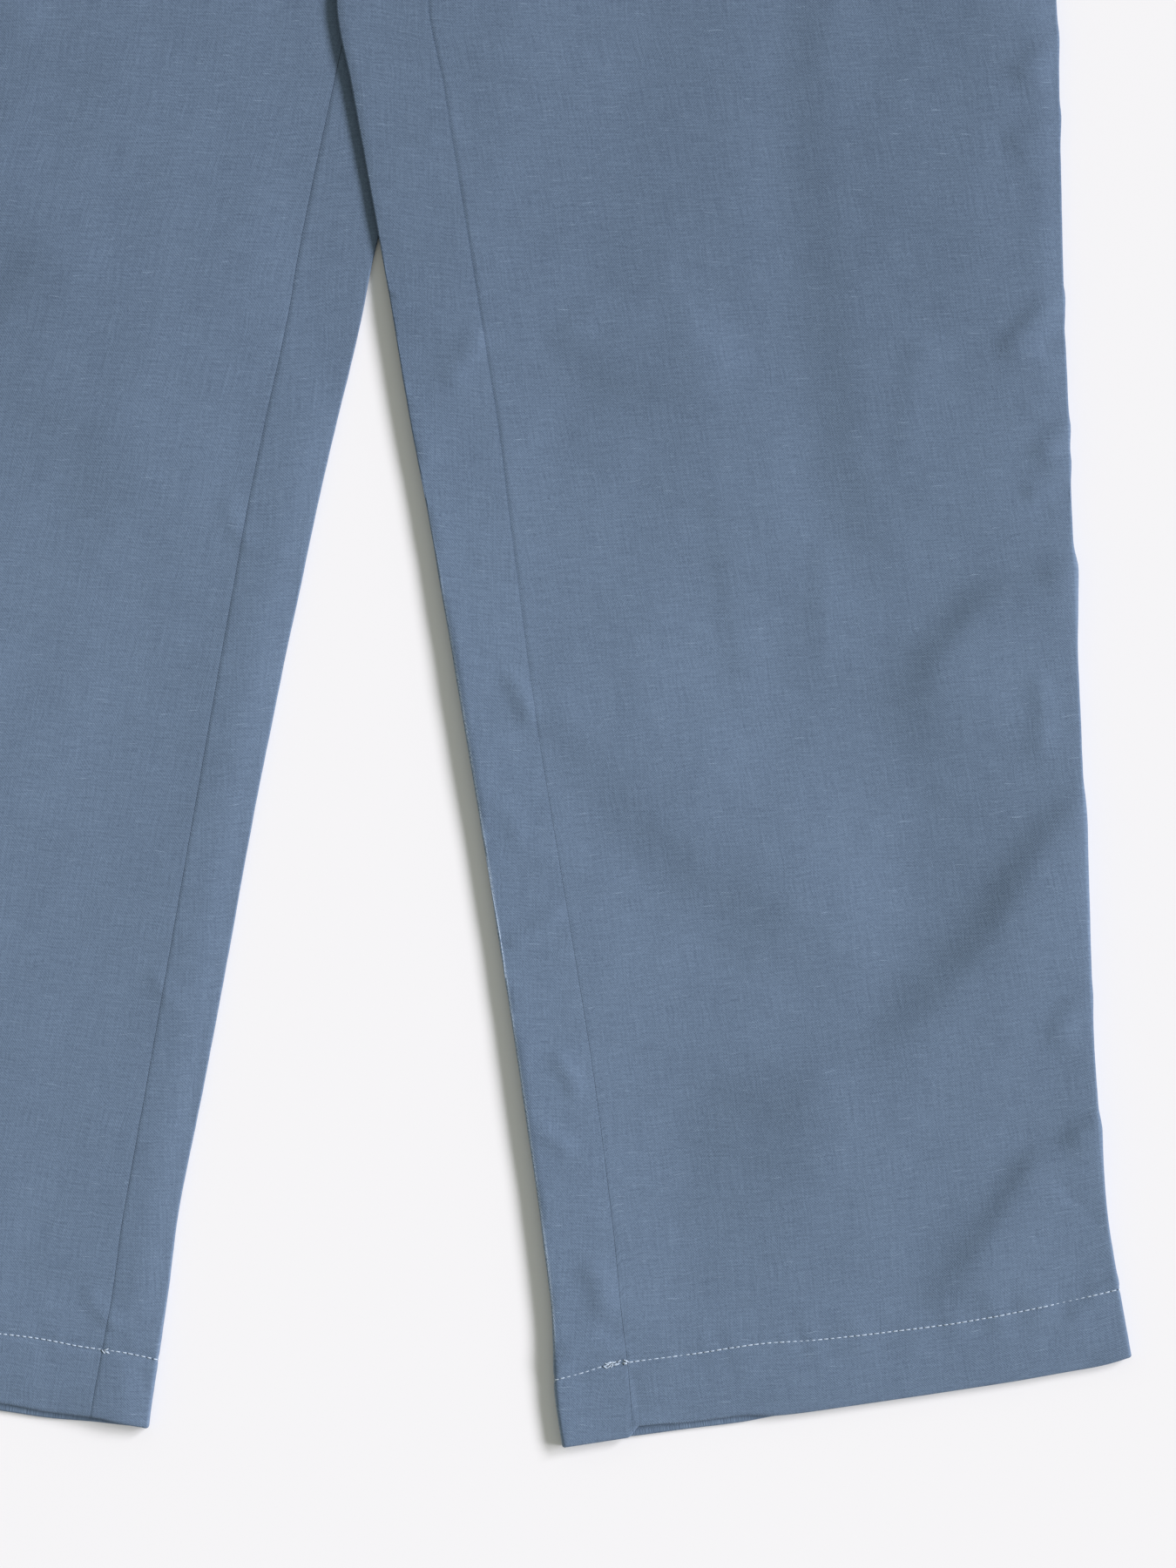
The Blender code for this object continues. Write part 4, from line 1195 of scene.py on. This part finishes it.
def stitch_mesh(name, centres, forwards, normals, lengths, width, material):
    """Joined mesh of stitches, each a short tube of thread that dives into the cloth at both ends."""
    sideways = np.cross(normals, forwards)
    points = []
    for ring in RINGS:
        middle = centres + forwards * (ring.along * lengths)[:, None] + normals * ring.high * width
        for side in range(RING_SIDES):
            angle = 2 * math.pi * side / RING_SIDES
            turn = sideways * math.cos(angle) + normals * math.sin(angle)
            points.append(middle + turn * ring.size * width / 2)
    points = np.stack(points, 1)
    points[..., 2] = np.maximum(points[..., 2], -PRESSED_THREAD)
    count, each = points.shape[:2]
    ring = np.arange(RING_SIDES)
    after = np.roll(ring, -1)
    tube = np.stack((ring, after, after + RING_SIDES, ring + RING_SIDES), -1)
    end = each - RING_SIDES
    # Each end of the thread is closed by two faces
    near, far = ((0, 5, 4, 3), (0, 3, 2, 1)), ((0, 1, 2, 3), (0, 3, 4, 5))
    tubes = [tube + k for k in range(0, end, RING_SIDES)]
    faces = np.concatenate((*tubes, near, np.array(far) + end))
    faces = (faces[None] + (np.arange(count) * each)[:, None, None]).reshape(-1, 4)
    sunk = np.tile(np.repeat([ring.sunk for ring in RINGS], RING_SIDES), count)
    weave = np.stack((sunk, np.repeat(np.arange(count), each) * PLY_STEP), -1)
    return make_mesh(name, points.reshape(-1, 3) + CROTCH, faces, weave, material)


def run_stitches(places, normals, sizes, seed, tack=None):
    """Centres, forward directions, normals and lengths of the stitches along a row of points."""
    chance = np.random.default_rng(seed)
    length = np.concatenate(((0.0,), np.cumsum(np.linalg.norm(np.diff(places, axis=0), axis=1))))
    pitch = sizes.stitch_pitch / MM
    at = np.arange(pitch / 2, length[-1], pitch)
    at = at + chance.uniform(-PITCH_SLACK, PITCH_SLACK, len(at))
    heaped = 0
    if tack is not None:
        start, end = np.sort(np.interp(tack, *tack_range(places, length)))
        heaped = round((end - start) * TACK_STITCHES_PER_MM)
        at = np.concatenate((at, chance.uniform(start, end, heaped)))
    centres, ahead, behind, normal = (
        np.stack([np.interp(where, length, field[:, k]) for k in range(3)], -1)
        for where, field in (
            (at, places), (at + HEADING_REACH, places), (at - HEADING_REACH, places), (at, normals)
        )
    )
    normal /= np.linalg.norm(normal, axis=1, keepdims=True)
    forwards = ahead - behind
    lengths = sizes.stitch_length / MM * chance.uniform(*LENGTH_SPREAD, len(at))
    heap = np.arange(len(at)) >= len(at) - heaped
    turn = np.where(heap, chance.uniform(-TACK_TURN, TACK_TURN, len(at)), 0.0)[:, None]
    aside = np.where(heap, chance.uniform(-TACK_WIDTH, TACK_WIDTH, len(at)), 0.0)[:, None]
    forwards = forwards + turn * np.cross(normal, forwards)
    forwards /= np.linalg.norm(forwards, axis=1, keepdims=True)
    wave = crumple(at, 0.0 * at, seed + DEEP_SEED, DEEP_WAVES)
    deep = np.clip(wave + chance.uniform(*DEEP_CHANCE, len(at)), 0.0, 1.0)
    raised = np.where(heap, TACK_HEIGHT, -DEEP * deep)[:, None]
    centres = centres + normal * raised + np.cross(normal, forwards) * aside
    return centres, forwards, normal, lengths


def tack_range(places, length):
    """Outs and lengths of the upper part of a row, with the outs rising."""
    out = np.abs(places[:, 0])
    upper = np.arange(len(out)) <= np.argmin(out)
    return out[upper][::-1], length[upper][::-1]


def length_property(name, description, millimetres):
    return bpy.props.FloatProperty(
        name=name, description=description, default=millimetres * MM, unit="LENGTH"
    )


def colour_property(name, description, text):
    return bpy.props.FloatVectorProperty(
        name=name, description=description, default=linear(text), subtype="COLOR", size=3
    )


def angle_property(name, description, degrees):
    return bpy.props.FloatProperty(
        name=name, description=description, default=math.radians(degrees), subtype="ANGLE"
    )


class TrouserSizes(bpy.types.PropertyGroup):
    cloth_thickness: length_property("Cloth thickness", "Thickness of the linen", 0.7)
    row_step: length_property("Row step", "Mesh step along the legs", 3.0)
    column_step: length_property("Column step", "Mesh step across the legs", 3.0)
    stitch_pitch: length_property("Stitch pitch", "Distance from stitch to stitch", 2.8)
    stitch_length: length_property("Stitch length", "Length of thread that shows", 1.9)
    thread_width: length_property("Thread width", "Width of the sewing thread", 0.48)


class TrouserColours(bpy.types.PropertyGroup):
    dark_yarn: colour_property("Dark yarn", "Deeper linen yarn", "#54647A")
    light_yarn: colour_property("Light yarn", "Paler linen yarn", "#6F829A")
    slub: colour_property("Slub", "Thick pale yarn", "#8C9FB6")
    speck: colour_property("Speck", "Dark speck in the yarn", "#4B5A70")
    # Pale fibres on the left leg's folded edge, and a painted highlight on the shaded bend there
    fibre: colour_property("Fibre", "Pale fibre on a rubbed edge", "#B4C2D0")
    thread: colour_property("Thread", "Sewing thread", "#C9D6E5")
    thread_shade: colour_property("Thread shade", "Shaded thread", "#9FB1C7")
    needle_hole: colour_property("Needle hole", "Shade in a needle hole", "#2E3B4E")
    floor: colour_property("Floor", "Pale floor", "#ECEBED")


class TrouserLight(bpy.types.PropertyGroup):
    key_azimuth: angle_property("Key azimuth", "From +X towards +Y", 15)
    key_elevation: angle_property("Key elevation", "Above the floor", 28.5)
    key_spread: angle_property("Key spread", "Angle that the softbox fills", 16)
    key_strength: bpy.props.FloatProperty(
        name="Key strength", description="Light of the softbox", default=5.08
    )
    fill: bpy.props.FloatProperty(
        name="Fill", description="Strength of the room's light", default=0.385
    )


def tie_cloth(piece, node):
    """Ties a piece of cloth to the body, and hides the solid that it stands for."""
    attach(piece, "root")
    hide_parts(node)


def make_panel(context, side, leg, build, *finish):
    """Makes the front or the back of a leg, as its shell of cloth."""
    sizes, node = context.scene.trouser_sizes, f"{side}_{leg.name}"
    material = linen_material("washed_linen_" + node, context.scene.trouser_colours, *finish)
    cloth, _ = build(leg, sizes)
    tie_cloth(cloth.shell("cloth_" + node, sizes.cloth_thickness / MM, material), node)


class TROUSERS_OT_fronts(bpy.types.Operator):
    """Makes the two front panels, with the hem turned up inside"""

    bl_idname = "trousers.fronts"
    bl_label = "Front panels"

    def execute(self, context):
        for leg in (LEFT, RIGHT):
            make_panel(context, "front", leg, front_cloth)
        return {"FINISHED"}


class TROUSERS_OT_backs(bpy.types.Operator):
    """Makes the two back panels, which wrap round the inner fold of each leg"""

    bl_idname = "trousers.backs"
    bl_label = "Back panels"

    def execute(self, context):
        for leg in (LEFT, RIGHT):
            # The left leg's back also gets the pale fibres and painted highlight on its folded edge
            make_panel(context, "back", leg, back_cloth, leg.sign * BACK_TURN, leg is LEFT)
        return {"FINISHED"}


class TROUSERS_OT_waistband(bpy.types.Operator):
    """Makes the gathered elastic casing at the waist"""

    bl_idname = "trousers.waistband"
    bl_label = "Waistband"

    def execute(self, context):
        material = linen_material("washed_linen_waistband", context.scene.trouser_colours)
        tie_cloth(band_mesh("cloth_waistband", material), "waistband")
        return {"FINISHED"}


def band_ring():
    """Points round the flattened waistband: x, z, normal x, normal z and length so far."""
    bend = (BAND_WALL + SEAM_GAP) / 2
    straight = BAND_HALF_WIDTH - BAND_WALL / 2 - bend
    low, high = BAND_WALL / 2, BAND_WALL / 2 + 2 * bend
    run = np.linspace(-1.0, 1.0, BAND_COLUMNS, endpoint=False) * straight
    angle = np.linspace(0.0, math.pi, BAND_BEND_STEPS, endpoint=False)
    zero, one = np.zeros(BAND_COLUMNS), np.ones(BAND_COLUMNS)
    x = (-run, -straight - bend * np.sin(angle), run, straight + bend * np.sin(angle))
    z = (high * one, bend * np.cos(angle), low * one, -bend * np.cos(angle))
    z = (z[0], z[1] + (low + high) / 2, z[2], z[3] + (low + high) / 2)
    across = (zero, -np.sin(angle), zero, np.sin(angle))
    up = (one, np.cos(angle), -one, -np.cos(angle))
    x, z, across, up = (np.concatenate(parts) for parts in (x, z, across, up))
    steps = np.hypot(np.diff(x, append=x[:1]), np.diff(z, append=z[:1]))
    return x, z, across, up, np.cumsum(steps) - steps


def band_surface():
    """The casing round its elastic: out over the top edge, down the inside and closed along the seam. Gives
    the points, by column and row, the way out at each column, the lengths round it and the heights."""
    x, z, across, up, length = band_ring()
    round_off = BAND_WALL / 2
    seam = WAIST_SEAM + SEAM_GAP / 2
    heights = np.linspace(seam, WAIST_TOP - round_off, BAND_ROWS)
    angle = np.linspace(0.0, math.pi, BAND_TOP_STEPS + 1)[1:-1]
    y = np.concatenate((heights, WAIST_TOP - round_off + round_off * np.sin(angle), heights[::-1]))
    offset = np.concatenate((np.full(BAND_ROWS, 1.0), np.cos(angle), np.full(BAND_ROWS, -1.0))) * round_off
    part = (x / BAND_HALF_WIDTH + 1.0) / 2
    ribs = (1.0 - np.cos(2 * math.pi * BAND_RIBS * part)) / 2
    drift = crumple(length[:, None], DRIFT_SLANT * y[None], BAND_SEED, DRIFT_WAVES)
    fine = (1.0 - np.cos(2 * math.pi * FINE_GROOVES * part[:, None] + drift)) / 2
    even, uneven = GROOVE_SHARES
    groove = GROOVE * ribs[:, None] * (even + uneven * np.cos(drift)) + FINE_GROOVE * fine
    sewn = (y - WAIST_SEAM - BAND_SEWN_UP) / BAND_SEW_WIDTH
    groove = groove + BAND_SEW_DIP * np.exp(-(sewn**2))
    flat = np.abs(across)[:, None] < FLAT_SLOPE
    outside = np.clip(offset / round_off, 0.0, 1.0)
    moved = offset - np.where(flat, groove, 0.0) * outside
    x, z = (middle[:, None] + way[:, None] * moved for middle, way in ((x, across), (z, up)))
    places = np.stack((x, y + 0.0 * moved, z), -1)
    return places, np.stack((across, 0.0 * across, up), -1), length, y


def band_mesh(name, material):
    places, _, length, y = band_surface()
    rows, columns = places.shape[:2]
    index = np.arange(rows * columns).reshape(rows, columns)
    index = np.concatenate((index, index[:1]))
    index = np.concatenate((index, index[:, :1]), axis=1)
    faces = np.stack((index[:-1, :-1], index[:-1, 1:], index[1:, 1:], index[1:, :-1]), -1).reshape(-1, 4)
    weave = np.stack(np.broadcast_arrays(BAND_STRETCH * length[:, None], y), -1).reshape(-1, 2)
    return make_mesh(name, places.reshape(-1, 3) + CROTCH, faces, weave, material)


class TROUSERS_OT_sewing(bpy.types.Operator):
    """Sews the hems and the waistband"""

    bl_idname = "trousers.sewing"
    bl_label = "Sewing"

    def sew(self, panel, stitches, width, material):
        piece = stitch_mesh("stitches_" + panel, *stitches, width, material)
        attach(piece, "root")

    def execute(self, context):
        sizes, colours = context.scene.trouser_sizes, context.scene.trouser_colours
        material = thread_material(colours)
        width = sizes.thread_width / MM
        for seed, leg in enumerate((LEFT, RIGHT)):
            for panel, build in (("front", front_cloth), ("back", back_cloth)):
                row = sewn_row(*build(leg, sizes))
                tack = leg.tack if panel == "back" else None
                self.sew(f"{panel}_{leg.name}", run_stitches(*row, sizes, seed, tack), width, material)
        places, outward, _, y = band_surface()
        ring = np.arange(-1, len(places))
        level = int(np.argmin(np.abs(y[:BAND_ROWS] - WAIST_SEAM - BAND_SEWN_UP)))
        row = places[ring, level], outward[ring]
        self.sew("waistband", run_stitches(*row, sizes, BAND_THREAD_SEED), width, material)
        return {"FINISHED"}


# Cut of what shows of each piece, in millimetres, and its area as a share of width times length
Cut = namedtuple("Cut", "node width length share held")
CUTS = table(
    Cut,
    ("front_left", 340.0, 970.0, 0.73, "laid"),
    ("front_right", 345.0, 960.0, 0.745, "laid"),
    ("back_left", 345.0, 990.0, 0.855, "laid"),
    ("back_right", 345.0, 980.0, 0.855, "laid"),
    ("waistband", 1060.0, 40.0, 1.0, "gathered"),
)


def add_floor(colours):
    data = bpy.data.meshes.new("floor")
    corners = [(x * FLOOR_HALF, y * FLOOR_HALF, 0.0) for x, y in ((-1, -1), (1, -1), (1, 1), (-1, 1))]
    data.from_pydata(corners, [], [(0, 1, 2, 3)])
    data.materials.append(floor_material(colours))
    floor = add_object("floor", data)
    floor.location.z = -FLOOR_CLEAR * MM


def add_softbox(light):
    """A long softbox, so far off that its light is even over the whole garment, as a row of lamps."""
    lamp = bpy.data.lights.new("softbox", "SUN")
    lamp.angle = light.key_spread
    lamp.energy = light.key_strength / len(SOFTBOX_ROW)
    lamp.color = linear(SOFTBOX_TINT)
    for number, aside in enumerate(SOFTBOX_ROW):
        key = add_object(f"softbox_{number}", lamp)
        turn = light.key_azimuth + math.radians(aside) + math.pi / 2
        key.rotation_euler = (math.pi / 2 - light.key_elevation, 0.0, turn)
        key.location = SOFTBOX_PLACE
        key.location.y += SOFTBOX_STEP * number


def add_room(scene, light):
    """The room's own light, from all sides."""
    scene.world = bpy.data.worlds.new("studio_room")
    scene.world.use_nodes = True
    background = scene.world.node_tree.nodes["Background"]
    background.inputs["Color"].default_value = (*linear(ROOM_TINT), 1.0)
    background.inputs["Strength"].default_value = light.fill


def add_camera(scene):
    view = bpy.data.cameras.new("camera")
    view.lens = LENS
    view.sensor_width = SENSOR
    scene.camera = add_object("camera", view)
    distance = PHOTO_HEIGHT * LENS / SENSOR
    scene.camera.location = (CROTCH + (*PHOTO_CENTRE, distance)) * MM


class TROUSERS_OT_studio(bpy.types.Operator):
    """Sets the pale floor, the soft light and the camera straight above"""

    bl_idname = "trousers.studio"
    bl_label = "Studio"

    def execute(self, context):
        scene = context.scene
        add_floor(scene.trouser_colours)
        add_softbox(scene.trouser_light)
        add_room(scene, scene.trouser_light)
        add_camera(scene)
        scene.view_settings.view_transform = "Standard"
        return {"FINISHED"}


class TROUSERS_PT_pieces(bpy.types.Panel):
    """Lists the steps and their sizes and colours"""

    bl_label = "Linen trousers"
    bl_idname = "TROUSERS_PT_pieces"
    bl_space_type = "VIEW_3D"
    bl_region_type = "UI"
    bl_category = "Trousers"

    def draw(self, context):
        column = self.layout.column()
        for operator in OPERATORS:
            column.operator(operator.bl_idname)
        scene = context.scene
        for group in (scene.trouser_sizes, scene.trouser_colours, scene.trouser_light):
            box = self.layout.box()
            for name in group.bl_rna.properties.keys():
                if name not in ("rna_type", "name"):
                    box.prop(group, name)


OPERATORS = (
    TROUSERS_OT_fronts,
    TROUSERS_OT_backs,
    TROUSERS_OT_waistband,
    TROUSERS_OT_sewing,
    TROUSERS_OT_studio,
)
CLASSES = (TrouserSizes, TrouserColours, TrouserLight, *OPERATORS, TROUSERS_PT_pieces)


def register():
    for item in CLASSES:
        bpy.utils.register_class(item)
    bpy.types.Scene.trouser_sizes = bpy.props.PointerProperty(type=TrouserSizes)
    bpy.types.Scene.trouser_colours = bpy.props.PointerProperty(type=TrouserColours)
    bpy.types.Scene.trouser_light = bpy.props.PointerProperty(type=TrouserLight)


def unregister():
    del bpy.types.Scene.trouser_light
    del bpy.types.Scene.trouser_colours
    del bpy.types.Scene.trouser_sizes
    for item in reversed(CLASSES):
        bpy.utils.unregister_class(item)


def main():
    register()
    bpy.ops.trousers.fronts()
    bpy.ops.trousers.backs()
    bpy.ops.trousers.waistband()
    bpy.ops.trousers.sewing()
    bpy.ops.trousers.studio()


if __name__ == "__main__":
    main()
